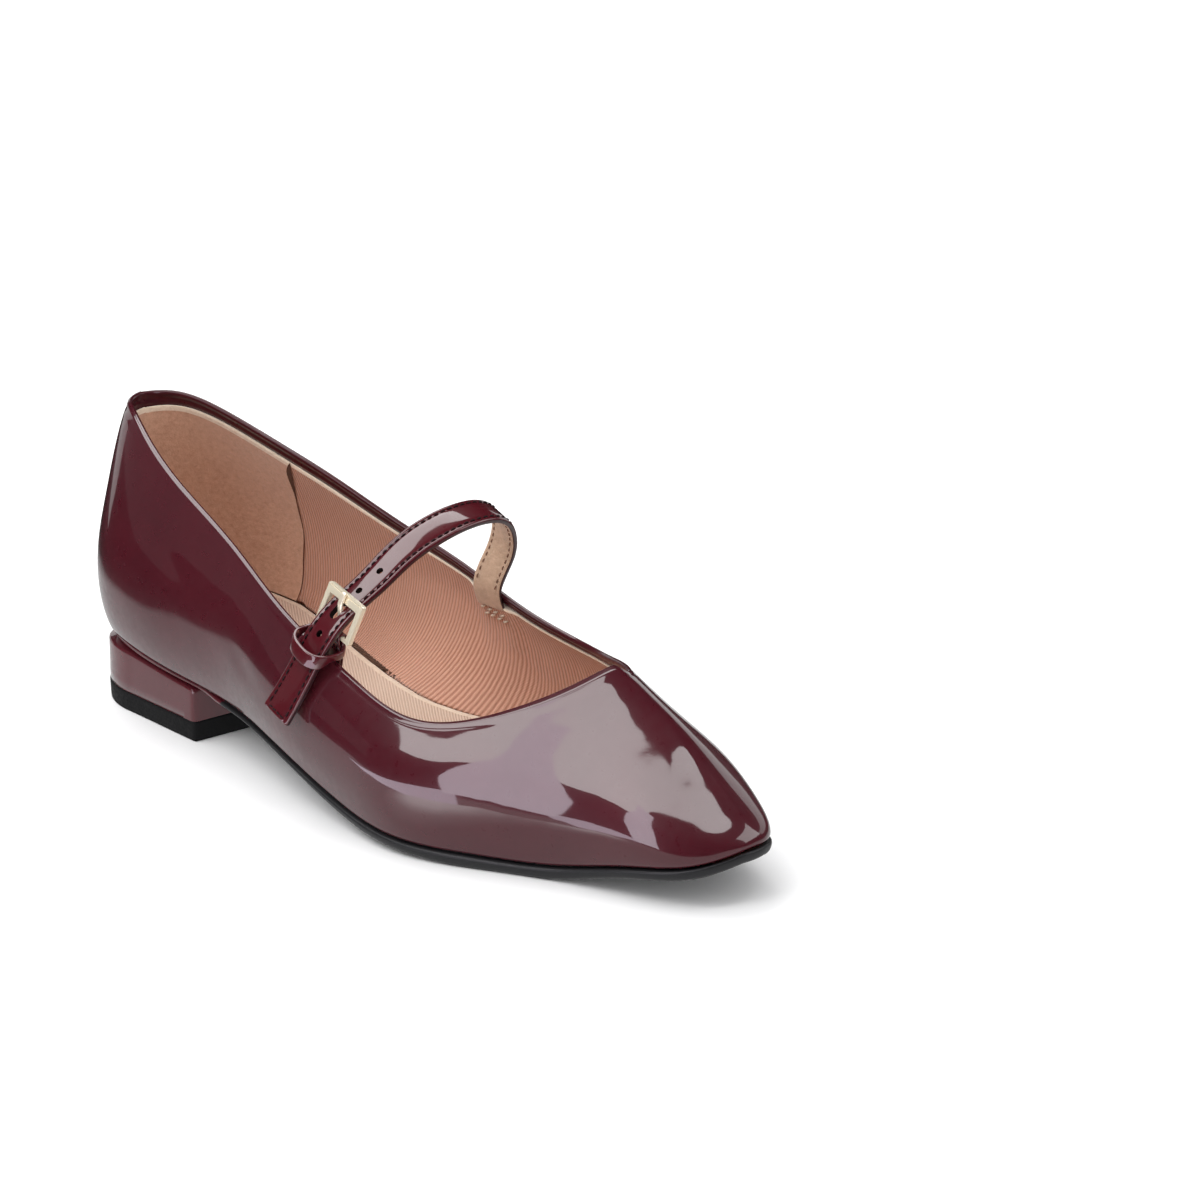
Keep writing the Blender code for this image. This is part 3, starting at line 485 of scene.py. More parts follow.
def sag(x, y):
    """How far the foot bed dips between its two edges under the arch and the ball."""
    lat, med = (np.interp(x, EDGE[side][:, 0], EDGE[side][:, 1]) for side in (LATERAL, MEDIAL))
    c = np.clip((y - lat) / np.maximum(med - lat, 1e-6), 0, 1)
    return 1.7 * 4 * c * (1 - c) * ease(55, 85, x) * ease(165, 135, x)


def shell(u, tau, side):
    """Outer face of one side for matrices u (0 heel..1 toe) and tau (0 feather edge..1 collar)."""
    u, tau = np.broadcast_arrays(np.asarray(u, float), np.asarray(tau, float))
    ss = np.linspace(0, 1, 400)
    w = last_rows(ss)["lateral" if side < 0 else "medial"]
    a = np.concatenate([[0], np.cumsum(np.hypot(np.diff(x_of_s(ss)), np.diff(w)))])
    s_f = np.interp(u, a / a[-1], ss)
    st, qt = topline(ss, side)
    edge = last_point(st, qt, side)
    b = np.concatenate([[0], np.cumsum(np.linalg.norm(np.diff(edge, axis=0), axis=1))])
    s_t, q_t = topline(np.interp(u, b / b[-1], ss), side)
    x_f, x_t = x_of_s(s_f), x_of_s(s_t)
    lam = 1 - np.cos(math.pi / 2 * tau)
    x_a, q_a = x_f * (1 - tau) + x_t * tau, q_t * tau
    x_b = x_f * (1 - lam) + x_t * lam
    y_f = np.interp(s_f, ss, w)
    y_t = np.interp(s_t, ss, w) * np.cos(math.pi / 2 * q_t)
    w_b = np.maximum(np.interp(s_of_x(x_b), ss, w), 1e-9)
    q_b = 2 / math.pi * np.arccos(np.clip((y_f * (1 - lam) + y_t * lam) / w_b, 0, 1))
    k = ease(0.72, 0.93, u)
    x, q = x_a * (1 - k) + x_b * k, q_a * (1 - k) + q_b * k
    q = np.where((u > 1 - 1e-9) & (tau > 1e-9), 1.0, q)
    return last_point(s_of_x(x), q, side).reshape(u.shape + (3,))


def full_ring(cols, tau):
    """All round: lateral side to the toe, medial side back. tau is (rows,) or a function of
    (u, side) giving (cols, rows). Also returns u and side for each column."""
    t = np.linspace(0, 1, cols)
    u = 0.5 * t + 0.5 * (1 - np.cos(math.pi * t)) / 2
    tl, tm = (tau(u, s) if callable(tau) else np.broadcast_to(tau, (cols, len(tau))) for s in (LATERAL, MEDIAL))
    uu = np.broadcast_to(u[:, None], tl.shape)
    lat, med = shell(uu, tl, LATERAL), shell(uu, tm, MEDIAL)
    g = np.concatenate([lat, med[-2:0:-1]], 0)
    return g, np.concatenate([u, u[-2:0:-1]]), np.concatenate([-np.ones(cols), np.ones(cols - 2)])


def normals_of(g, closed=True):
    if closed:
        du = np.roll(g, -1, 0) - np.roll(g, 1, 0)
    else:
        du = np.gradient(g, axis=0)
    return unit(np.cross(du, np.gradient(g, axis=1)))


def arc(g):
    """Distance along each column from its first row."""
    d = np.linalg.norm(np.diff(g, axis=1), axis=2)
    return np.concatenate([np.zeros((len(g), 1)), np.cumsum(d, axis=1)], 1)


def loft_faces(n, k, closed=False, ring=True):
    """Quads between n sections of k points; ring closes each section on itself."""
    i = np.arange(n if closed else n - 1)
    a = np.arange(k if ring else k - 1)
    I, A = np.meshgrid(i, a, indexing="ij")
    J, B = (I + 1) % n, (A + 1) % k
    return np.stack([I * k + A, I * k + B, J * k + B, J * k + A], -1).reshape(-1, 4)


def mesh_object(name, verts, faces, mats, index=None, uv=None, sharp=None, flip=None):
    """A mesh from millimetre points; index names each face's material, uv each vertex's place."""
    verts = np.asarray(verts, float).reshape(-1, 3)
    pts = (verts + (SHIFT_X, SHIFT_Y, 0)) * MM
    faces = [tuple(int(i) for i in f) for f in faces]
    if flip is None:
        vol = 0.0
        for f in faces:
            p0 = pts[f[0]]
            for k in range(1, len(f) - 1):
                vol += float(np.dot(p0, np.cross(pts[f[k]], pts[f[k + 1]])))
        flip = vol < 0
    if flip:
        faces = [f[::-1] for f in faces]
    me = bpy.data.meshes.new(name)
    me.from_pydata([tuple(p) for p in pts], [], faces)
    for m in (mats if isinstance(mats, (list, tuple)) else [mats]):
        me.materials.append(m)
    if index is not None:
        me.polygons.foreach_set("material_index", np.asarray(index, np.int32))
    if uv is not None:
        lay = me.uv_layers.new(name="UVMap")
        vi = np.empty(len(me.loops), np.int32)
        me.loops.foreach_get("vertex_index", vi)
        lay.data.foreach_set("uv", np.asarray(uv, np.float32)[vi].ravel())
    me.validate()
    me.update()
    me.shade_smooth()
    if sharp:
        me.set_sharp_from_angle(angle=math.radians(sharp))
    ob = bpy.data.objects.new(name, me)
    bpy.context.scene.collection.objects.link(ob)
    return ob


def join_parts(parts):
    """Several (verts, faces) joined into one list."""
    V, F, n = [], [], 0
    for v, f in parts:
        v = np.asarray(v, float).reshape(-1, 3)
        V.append(v)
        F += [tuple(int(i) + n for i in q) for q in f]
        n += len(v)
    return np.concatenate(V), F


def tube_sections(path, tangent, normal, radius_w, radius_h, k=8):
    """Elliptical sections along a path: width across, height along the normal."""
    side = np.cross(tangent, normal)
    a = np.arange(k) / k * math.tau
    return path[:, None] + side[:, None] * (np.cos(a)[None, :, None] * radius_w[:, None, None]) \
        + normal[:, None] * (np.sin(a)[None, :, None] * radius_h[:, None, None])


def capped(sections, closed=False):
    n, k = sections.shape[:2]
    f = [tuple(q) for q in loft_faces(n, k, closed)]
    if not closed:
        f += [tuple(range(k))[::-1], tuple((n - 1) * k + a for a in range(k))]
    return sections.reshape(-1, 3), f


def stitch(p, along, out, length, radius):
    """One raised thread stitch, its ends diving into the leather."""
    t = np.linspace(0, 1, 7)
    bow = 1 - (2 * t - 1) ** 2
    path = p + along * ((t - 0.5) * length)[:, None] + out * (radius * (1.35 * bow - 0.75))[:, None]
    tan = unit(np.gradient(path, axis=0))
    nor = unit(out - tan * (tan @ out)[:, None])
    r = radius * np.sqrt(np.clip(1 - (2 * t - 1) ** 4 * 0.92, 0.05, 1))
    return capped(tube_sections(path, tan, nor, r, r, 6))


def waves(p):
    """Slight unevenness of the lasted leather, in mm, at points in the shoe's own sizes."""
    x, y, z = p[..., 0], p[..., 1], p[..., 2]
    side = np.sign(y + 1e-9)
    w = 0.050 * np.sin(x / 9.5 + side * 0.8 + z / 14) + 0.022 * np.sin(x / 5.6 - z / 8 + side * 2.1) \
        + 0.030 * np.sin(z / 5.2 + x / 23 + side)
    return w * ease(2, 12, z - 4)


CREASES_COLUMNS = ("side", "x", "z", "along_x", "along_z", "long", "wide", "deep")
CREASES = (
    (-1, 60.0, 52.0, 1.0, -0.45, 30.0, 8.0, -0.30),
    (-1, 40.0, 38.0, 1.0, -0.20, 34.0, 9.0, 0.22),
    (-1, 96.0, 34.0, 1.0, -0.55, 20.0, 6.0, -0.22),
    (-1, 133.0, 22.0, 1.0, -0.10, 26.0, 6.0, -0.12),
    (1, 112.0, 34.0, 1.0, -0.25, 24.0, 6.0, -0.30),
    (1, 70.0, 48.0, 1.0, -0.40, 30.0, 8.0, -0.30),
    (1, 160.0, 28.0, 1.0, 0.00, 26.0, 6.0, 0.16),
)


def creases(p):
    """Soft troughs and ridges placed on each side of the shell."""
    out = np.zeros(p.shape[:-1])
    for side, x, z, ax, az, long, wide, deep in CREASES:
        n = math.hypot(ax, az)
        dx, dz = p[..., 0] - x, p[..., 2] - z
        a = (dx * ax + dz * az) / n
        b = (dz * ax - dx * az) / n
        out += np.where(p[..., 1] * side > -3, deep * np.exp(-(a / long * 2) ** 2 - (b / wide * 2) ** 2), 0)
    return out


# ------------------------------------------------------------------ patent shell
def make_shell(mats):
    tau = np.linspace(0, 1, ROWS)
    g, u, side = full_ring(COLS, tau)
    n = normals_of(g)
    up = arc(g)
    top_d = up[:, -1:] - up
    # soft unevenness, a shallow groove under the collar's roll and the turned-under lower edge
    disp = (waves(g) + creases(g)) * ease(1.5, 9, up) * ease(0.5, 7, top_d)
    disp += 0.12 * np.exp(-((top_d - 0.3) / 0.7) ** 2) - 0.16 * np.exp(-((top_d - 1.9) / 0.5) ** 2)
    outer = g + n * disp[..., None]
    flat = unit(n[:, :1] * (1, 1, 0.0))
    tuck = np.where(up < 1.6, 1.1 * (1 - np.sqrt(np.clip(1 - (1 - up / 1.6) ** 2, 0, 1))), 0)
    outer = outer - flat * tuck[..., None]
    nt = n[:, -1]
    rise = unit(g[:, -1] - g[:, -2])
    rise = unit(rise - nt * (rise * nt).sum(-1, keepdims=True))
    # rolled edge
    c = g[:, -1] - nt * (BAND_IN / 2) - rise * 0.2
    ang = np.radians(np.linspace(12, 186, 13))
    rr = np.full(13, ROLL)
    roll = c[:, None] + nt[:, None] * (np.cos(ang) * rr)[None, :, None] + rise[:, None] * (np.sin(ang) * rr)[None, :, None]
    # folded-in band, on the inner side
    down = np.linspace(1.4, BAND_LONG, 12)
    tb = np.stack([np.interp(up[i, -1] - down, up[i], tau) for i in range(len(g))])
    k = len(u)
    gb = np.stack([[np.interp(tb[i], tau, g[i, :, a]) for a in range(3)] for i in range(k)]).transpose(0, 2, 1)
    nb = unit(np.stack([[np.interp(tb[i], tau, n[i, :, a]) for a in range(3)] for i in range(k)]).transpose(0, 2, 1))
    depth = BAND_IN - 0.20 * np.exp(-((down - 1.8) / 0.5) ** 2) + 0.22 * np.exp(-((down - 3.2) / 0.9) ** 2)
    band = gb - nb * depth[None, :, None]
    # hidden back of the skin, down to the lower edge
    back_tau = np.linspace(1, 0, 14)
    back = []
    for i in range(k):
        tt = back_tau * tb[i, -1]
        gi = np.stack([np.interp(tt, tau, g[i, :, a]) for a in range(3)], -1)
        ni = unit(np.stack([np.interp(tt, tau, n[i, :, a]) for a in range(3)], -1))
        gi = gi - ni * SKIN
        gi[-1] = outer[i, 0] - flat[i, 0] * 0.6 + (0, 0, 0.25)
        back.append(gi)
    back = np.array(back)
    sec = np.concatenate([outer, roll, band, back], 1)
    n_sec, kk = sec.shape[:2]
    faces = loft_faces(n_sec, kk, closed=True)
    a = np.tile(np.arange(kk), n_sec)
    # The roll and the top of the band take the third material, a darker, less glossy patent: painted shade that damps
    # the roll's reflection.
    idx = np.where(a >= ROWS + 13 + 12 - 1, 1, np.where((a >= ROWS + 4) & (a <= ROWS + 16), 2, 0))
    return mesh_object("upper_shell", sec, faces, mats, idx)


def lining_edge(u, side, top, cols_u=None):
    """tau at which the lining's upper edge lies, top mm down from the collar."""
    tau = np.linspace(0, 1, 60)
    g = shell(np.asarray(u)[:, None], tau[None], side)
    up = arc(g)
    return np.array([np.interp(up[i, -1] - t, up[i], tau) for i, t in enumerate(np.broadcast_to(top, len(u)))])


BUMPS_COLUMNS = ("side", "x", "z", "half_x", "half_z", "deep", "lift")
BUMPS = (
    (1, 126.4, 38.0, 6.6, 9.5, 1.15, 0.0),
    (-1, 127.5, 37.0, 6.2, 9.0, 0.95, 0.0),
)


def bump_at(p, i):
    """Where the lining runs over the sewn-in end of the strap and of the buckle's tab."""
    side, x, z, hx, hz, deep, lift = BUMPS[i]
    fx = ease(hx + 3.4, hx - 1.2, np.abs(p[..., 0] - x))
    fz = ease(z - hz - 4.0, z - hz + 2.0, p[..., 2])
    return np.where(p[..., 1] * side > 0, fx * fz, 0)


def make_lining(mats):
    """Textile lining with a thick edge, standing a little proud of the collar band."""
    rows = 44

    def tau_of(u, side):
        edge = lining_edge(u, side, LINING_TOP)
        lift = np.zeros(len(u))
        top = shell(np.asarray(u), edge, side)
        for i, b in enumerate(BUMPS):
            if b[0] == side:
                lift += b[6] * bump_at(top, i)
        edge = edge + lift / 60.0
        return edge[:, None] * np.linspace(0.015, 1, rows)[None]
    g, u, side = full_ring(COLS, tau_of)
    n = normals_of(g)
    depth = np.full(g.shape[:2], LINING_IN)
    for i in range(len(BUMPS)):
        depth += BUMPS[i][5] * bump_at(g, i)
    depth += 0.06 * np.sin(g[..., 0] / 7 + g[..., 2] / 6)
    rise = unit(np.gradient(g, axis=1))
    inner = g - n * depth[..., None]
    # under the arch the cloth curves in over the foot bed to the sock's cut-in edge
    up = arc(inner)
    for i in np.nonzero(side > 0)[0]:
        y_end = arch_y(inner[i, 0, 0]) + 0.55
        need = inner[i, 0, 1] - y_end
        if need < 0.3:
            continue
        x0 = inner[i, 0, 0]
        z_end = float(foot_bed(x0, y_end)) + 1.05 - float(sag(x0, y_end))
        reach = 5.0 + need * 0.9
        j = int(np.searchsorted(up[i], reach))
        p0, p3 = inner[i, j].copy(), np.array((x0, y_end, z_end))
        corner = inner[i, 0] + (0, 0, 1.2)
        p1 = p0 + (corner - p0) * 0.72
        p2 = p3 + (corner - p3) * 0.62 + (0, 0, 0.5)
        w = np.linspace(1, 0, j + 1)[:, None]
        inner[i, :j + 1] = p0 * (1 - w) ** 3 + 3 * p1 * w * (1 - w) ** 2 + 3 * p2 * w ** 2 * (1 - w) + p3 * w ** 3
    thick = 0.55
    back = g - n * (LINING_IN - thick)
    # rounded upper edge
    e = inner[:, -1] * 0.5 + (inner[:, -1] + n[:, -1] * thick) * 0.5
    cap = e[:, None] + n[:, -1][:, None] * (np.linspace(-1, 1, 6)[1:-1] * thick / 2)[None, :, None] \
        + rise[:, -1][:, None] * (np.sqrt(1 - np.linspace(-1, 1, 6)[1:-1] ** 2) * thick / 2)[None, :, None]
    sec = np.concatenate([inner, cap, back[:, ::-1][:, ::4]], 1)
    s_arc = np.concatenate([[0], np.cumsum(np.linalg.norm(np.diff(g[:, rows // 2], axis=0), axis=1))])
    half = COLS - 1
    along = np.interp(sec[..., 0], g[:half + 1, rows // 2, 0], s_arc[:half + 1])
    ups = np.concatenate([np.zeros((len(sec), 1)), np.cumsum(np.hypot(np.diff(sec[..., 1], axis=1), np.diff(sec[..., 2], axis=1)), axis=1)], 1)
    ups = ups - ups[:, rows - 1:rows]
    lean = np.interp(sec[..., 0], (55, 95, 115, 140), (0.02, 0.10, 0.02, -0.16))
    uv = np.stack([along - lean * ups, ups + 60], -1).reshape(-1, 2) / 10
    faces = loft_faces(*sec.shape[:2], closed=True)
    a = np.tile(np.arange(sec.shape[1]), sec.shape[0])
    # The rounded upper edge takes the pale cream second material: partly the edge's own colour, partly a painted
    # highlight where the thick edge catches the light.
    idx = np.where((a >= rows - 2) & (a <= rows + 4), 1, 0)
    return mesh_object("lining", sec, faces, mats, idx, uv)


COUNTER_COLUMNS = ("up", "x_medial", "x_lateral")
COUNTER = (
    (0.00, 40.0, 39.0),
    (0.10, 41.2, 40.0),
    (0.25, 41.8, 41.0),
    (0.45, 42.9, 42.0),
    (0.63, 43.6, 42.6),
    (0.80, 44.4, 43.4),
    (0.92, 45.4, 44.6),
    (1.00, 48.8, 48.0),
)


def make_counter(mats):
    """Suede counter lining round the inside of the heel, its cut front edge slanting forward."""
    rows, cols = 40, 90
    v = np.linspace(0.02, 1, rows)
    secs = []
    for side in (LATERAL, MEDIAL):
        name = "x_medial" if side > 0 else "x_lateral"
        front = spline(column(COUNTER, COUNTER_COLUMNS, "up"), column(COUNTER, COUNTER_COLUMNS, name), v)
        front = front + 0.5 * np.sin(v * 17) * v * (1 - v) * 2
        uf = np.linspace(0, 0.6, 120)
        edge = lining_edge(uf, side, LINING_TOP - 0.35)
        ug = np.zeros(rows)
        for j in range(rows):
            x = shell(uf, edge * v[j], side)[:, 0]
            ug[j] = np.interp(front[j], x, uf)
        w = np.linspace(0, 1, cols)
        U = w[:, None] * ug[None]
        E = np.interp(U, uf, edge)
        secs.append(shell(U, E * v[None], side))
    g = np.concatenate([secs[0][::-1], secs[1][1:]], 0)
    n = normals_of(g, closed=False)
    if (n[cols - 1, :, 0].mean()) > 0:
        n = -n
    rise = unit(np.gradient(g, axis=1))
    thick = 0.55
    d = COUNTER_IN + 0.10 * np.sin(g[..., 0] / 9 + 1) * np.sin(g[..., 2] / 11)
    inner = g - n * d[..., None]
    back = inner + n * thick
    e = (inner[:, -1] + back[:, -1]) / 2
    q = np.linspace(-1, 1, 7)[1:-1]
    cap = e[:, None] + n[:, -1][:, None] * (q * thick / 2)[None, :, None] + rise[:, -1][:, None] * (np.sqrt(1 - q ** 2) * thick * 0.6)[None, :, None]
    sec = np.concatenate([inner, cap, back[:, ::-1][:, ::3]], 1)
    k = sec.shape[1]
    faces = [tuple(f) for f in loft_faces(sec.shape[0], k)]
    faces += [tuple(range(k))[::-1], tuple((sec.shape[0] - 1) * k + a for a in range(k))]
    a = np.tile(np.arange(k), sec.shape[0] - 1)
    # The rounded top edge takes the pale cream second material: partly the edge's own colour, partly a painted
    # highlight on the lit edge.
    # The two end caps take the dark brown third material: painted shade in the gap at the counter's cut front ends.
    idx = list(np.where((a >= rows - 2) & (a <= rows + 3), 1, 0)) + [2, 2]
    s_arc = np.concatenate([[0], np.cumsum(np.linalg.norm(np.diff(g[:, rows // 2], axis=0), axis=1))])
    ups = arc(sec)
    uv = np.stack([np.broadcast_to(s_arc[:, None], ups.shape), ups], -1).reshape(-1, 2) / 10
    return mesh_object("counter_lining", sec, faces, mats, idx, uv, sharp=60)


# ------------------------------------------------------------------ insole and sole
def make_insole_sock(mats):
    s = np.linspace(0, 1, 200)
    lat, med = outline(s, LATERAL, -INSOLE_INSET), outline(s, MEDIAL, -INSOLE_INSET)
    keep = (med[:, 1] - lat[:, 1] > 3.0) & (x_of_s(s) < X_TOE - 9)
    lat, med = lat[keep], med[keep]
    goal = np.minimum(med[:, 1], arch_y(med[:, 0]))
    med = np.stack([np.where(goal < med[:, 1], lat[:, 0], med[:, 0]), goal], -1)
    zl, zm = (foot_bed(p[:, 0], p[:, 1]) + 0.15 for p in (lat, med))
    width = np.linalg.norm(med - lat, axis=1)
    rim = np.array([0, 0.3, 0.75, 2.3])
    top = []
    for i in range(len(lat)):
        half = np.concatenate([rim, np.linspace(2.6, width[i] / 2, 17)[:-1]]) * min(1.0, width[i] / 8)
        half = np.minimum(half, width[i] / 2)
        q = np.concatenate([half / width[i], [0.5], 1 - half[::-1] / width[i]])
        e = np.minimum(q, 1 - q) * width[i]
        crown = INSOLE * (1 - 0.45 * np.clip(1 - e / 1.1, 0, 1) ** 2.2) - 0.10 * np.exp(-((e - 2.6) / 0.5) ** 2)
        xy = lat[i] + (med[i] - lat[i]) * q[:, None]
        top.append(np.concatenate([xy, (zl[i] + (zm[i] - zl[i]) * q + crown - sag(xy[:, 0], xy[:, 1]))[:, None]], 1))
    top = np.array(top)
    low = []
    for i in range(len(lat)):
        b = np.array([1, .75, .5, .25, 0])
        xy = lat[i] + (med[i] - lat[i]) * b[:, None]
        low.append(np.concatenate([xy, (zl[i] + (zm[i] - zl[i]) * b - sag(xy[:, 0], xy[:, 1]))[:, None]], 1))
    sec = np.concatenate([top, np.array(low)], 1)
    k = sec.shape[1]
    faces = [tuple(f) for f in loft_faces(sec.shape[0], k)]
    faces += [tuple(range(k))[::-1], tuple((sec.shape[0] - 1) * k + a for a in range(k))]
    a = np.tile(np.arange(k), sec.shape[0] - 1)
    # The rounded rim takes the paler second material: partly the sock's own edge colour, partly a painted highlight on
    # the rounded rim.
    idx = list(np.where((a < 3) | ((a >= 37) & (a < 40)), 1, np.where(a >= 40, 2, 0))) + [2, 2]
    uv = sec.reshape(-1, 3)[:, :2] / 10
    return mesh_object("insole_sock", sec, faces, mats, idx, uv)


def make_outsole(mats):
    s = np.linspace(0, 1, 170)
    x = x_of_s(s)
    grow = SEAT_INSET + (SOLE_EDGE - SEAT_INSET) * ease(HEEL_BREAST - 10, HEEL_BREAST + 14, x) - 1.0 * ease(HEEL_BREAST + 4, HEEL_BREAST - 8, x)
    tuck = SOLE_TUCK * ease(HEEL_BREAST, HEEL_BREAST + 20, x)
    belly = SOLE_BELLY * ease(HEEL_BREAST, HEEL_BREAST + 40, x) * ease(X_TOE, X_TOE - 30, x)
    edge = {side: outline(s, side, grow) for side in (LATERAL, MEDIAL)}
    top = np.stack([foot_bed(edge[sd][:, 0], edge[sd][:, 1]) for sd in (LATERAL, MEDIAL)], -1) - GAP
    low = top + GAP - last_rows(s)["sole_thick"][:, None] - SOLE_FLAT
    k_side = np.linspace(0, 1, 9)
    bulge = 0.22 * np.sin(np.pi * k_side) ** 0.8 - 0.35 * np.exp(-(k_side / 0.07) ** 2) - 0.45 * np.exp(-((1 - k_side) / 0.10) ** 2)
    walls = {}
    for j, sd in enumerate((LATERAL, MEDIAL)):
        w = np.zeros((len(s), 9, 3))
        for m, kk in enumerate(k_side):
            xy = outline(s, sd, grow - tuck * kk ** 1.5 + bulge[m])
            z = top[:, j] * (1 - kk) + np.maximum(low[:, j], 0) * kk
            w[:, m] = np.concatenate([xy, z[:, None]], 1)
        walls[sd] = w
    c = np.linspace(0, 1, 15)[1:-1]
    up = walls[LATERAL][:, :1] + (walls[MEDIAL][:, :1] - walls[LATERAL][:, :1]) * c[None, :, None]
    up[..., 2] -= sag(up[..., 0], up[..., 1])
    c = np.linspace(1, 0, 27)[1:-1]
    a, b = walls[LATERAL][:, -1:], walls[MEDIAL][:, -1:]
    dn = a + (b - a) * c[None, :, None]
    zl = low[:, :1] + (low[:, 1:] - low[:, :1]) * c[None] - belly[:, None] * 4 * (c * (1 - c))[None]
    dn[..., 2] = np.maximum(np.minimum(zl, dn[..., 2]), 0.0)
    sec = np.concatenate([up, walls[MEDIAL], dn, walls[LATERAL][:, ::-1]], 1)
    k = sec.shape[1]
    faces = [tuple(f) for f in loft_faces(sec.shape[0], k)]
    faces += [tuple(range(k))[::-1], tuple((sec.shape[0] - 1) * k + i for i in range(k))]
    uv = sec.reshape(-1, 3)[:, :2] / 10
    j = np.arange(k)
    wall = (j < 22) | (j > 46)
    idx = list(((x[:-1, None] < HEEL_BREAST + 3) & wall[None]).astype(int).ravel()) + [1, 0]
    return mesh_object("outsole_shell", sec, faces, mats, idx, uv, sharp=70)


# ------------------------------------------------------------------ heel
def heel_plan(grow, corner, back=HEEL_BACK, n=300):
    """Closed plan of the heel, its two front corners rounded."""
    pts = []
    for side, b in ((LATERAL, HEEL_BREAST_LATERAL), (MEDIAL, HEEL_BREAST_MEDIAL)):
        x0 = back - grow
        run = np.linspace(0, 1, 400) ** 1.8 * (b + grow - x0)
        y = (HEEL_HALF + grow) * (1 - np.clip((HEEL_ROUND_LENGTH - run) / HEEL_ROUND_LENGTH, 0, 1) ** 2.3) ** (1 / 2.3)
        y = y * (1 + HEEL_FLARE * np.clip(run - HEEL_ROUND_LENGTH, 0, None) / 10)
        pts.append(np.stack([x0 + run, side * y + HEEL_CENTRE_Y], -1))
    loop = np.concatenate([pts[0], pts[1][::-1][:-1]])
    d = np.concatenate([[0], np.cumsum(np.linalg.norm(np.diff(np.vstack([loop, loop[:1]]), axis=0), axis=1))])
    m = 2400
    e = np.linspace(0, d[-1], m + 1)[:-1]
    ring = np.stack([np.interp(e, d, np.append(loop[:, i], loop[0, i])) for i in (0, 1)], -1)
    sig = corner / (d[-1] / m)
    kx = np.arange(-int(4 * sig), int(4 * sig) + 1)
    ker = np.exp(-kx ** 2 / (2 * sig ** 2))
    ker /= ker.sum()
    out = np.zeros_like(ring)
    for w, kk in zip(ker, kx):
        out += w * np.roll(ring, -kk, 0)
    return out[::m // n]


def block(name, plan, z_top, z_low, profile, mats, caps=5, sharp=None):
    """Solid on a closed plan: profile is (share of height, inset) from the bottom up."""
    c = plan.mean(0)
    n = np.roll(plan, -1, 0) - np.roll(plan, 1, 0)
    n = unit(np.stack([n[:, 1], -n[:, 0]], -1))
    if ((plan - c) * n).sum() < 0:
        n = -n
    rings = []
    zt = np.array([z_top(*p) for p in plan])

    def ring(xy, z):
        rings.append(np.concatenate([xy, np.broadcast_to(z, len(xy))[:, None]], 1))
    first = plan - n * profile[0][1]
    for f in np.linspace(0.02, 0.9, caps):
        ring(c + (first - c) * f, z_low)
    for t, inset in profile:
        p = plan - n * inset
        ring(p, z_low + (zt - z_low) * t)
    last = plan - n * profile[-1][1]
    for f in np.linspace(0.9, 0.02, caps):
        p = c + (last - c) * f
        ring(p, np.array([z_top(*q) for q in p]))
    sec = np.array(rings)
    k = sec.shape[1]
    faces = [tuple(f) for f in loft_faces(sec.shape[0], k)]
    faces += [tuple(range(k))[::-1], tuple((sec.shape[0] - 1) * k + i for i in range(k))]
    return mesh_object(name, sec, faces, mats, sharp=sharp)


# ------------------------------------------------------------------ strap, tab and keeper
STRAP_PROFILE_COLUMNS = ("across", "out")
STRAP_PROFILE = (
    (-5.35, 0.05), (-5.33, 0.45), (-5.12, 0.74), (-4.75, 0.88), (-4.35, 0.84), (-4.02, 0.68), (-3.82, 0.62),
    (-3.60, 0.70), (-3.20, 0.84), (-2.40, 0.90), (-1.20, 0.93), (0.0, 0.94), (1.20, 0.93), (2.40, 0.90), (3.20, 0.84),
    (3.60, 0.70), (3.82, 0.62), (4.02, 0.68), (4.35, 0.84), (4.75, 0.88), (5.12, 0.74), (5.33, 0.45), (5.35, 0.05),
    (5.35, -0.40), (5.18, -0.72), (4.85, -0.85), (4.30, -0.84), (3.90, -0.76), (3.50, -0.84), (1.8, -0.86), (0.0, -0.86),
    (-1.8, -0.86), (-3.50, -0.84), (-3.90, -0.76), (-4.30, -0.84), (-4.85, -0.85), (-5.18, -0.72), (-5.35, -0.40),
)
STRAP_SKIN_LAST = 20      # profile points up to here carry the patent skin
STRAP_BACK_FIRST = 24     # and from here on the suede back


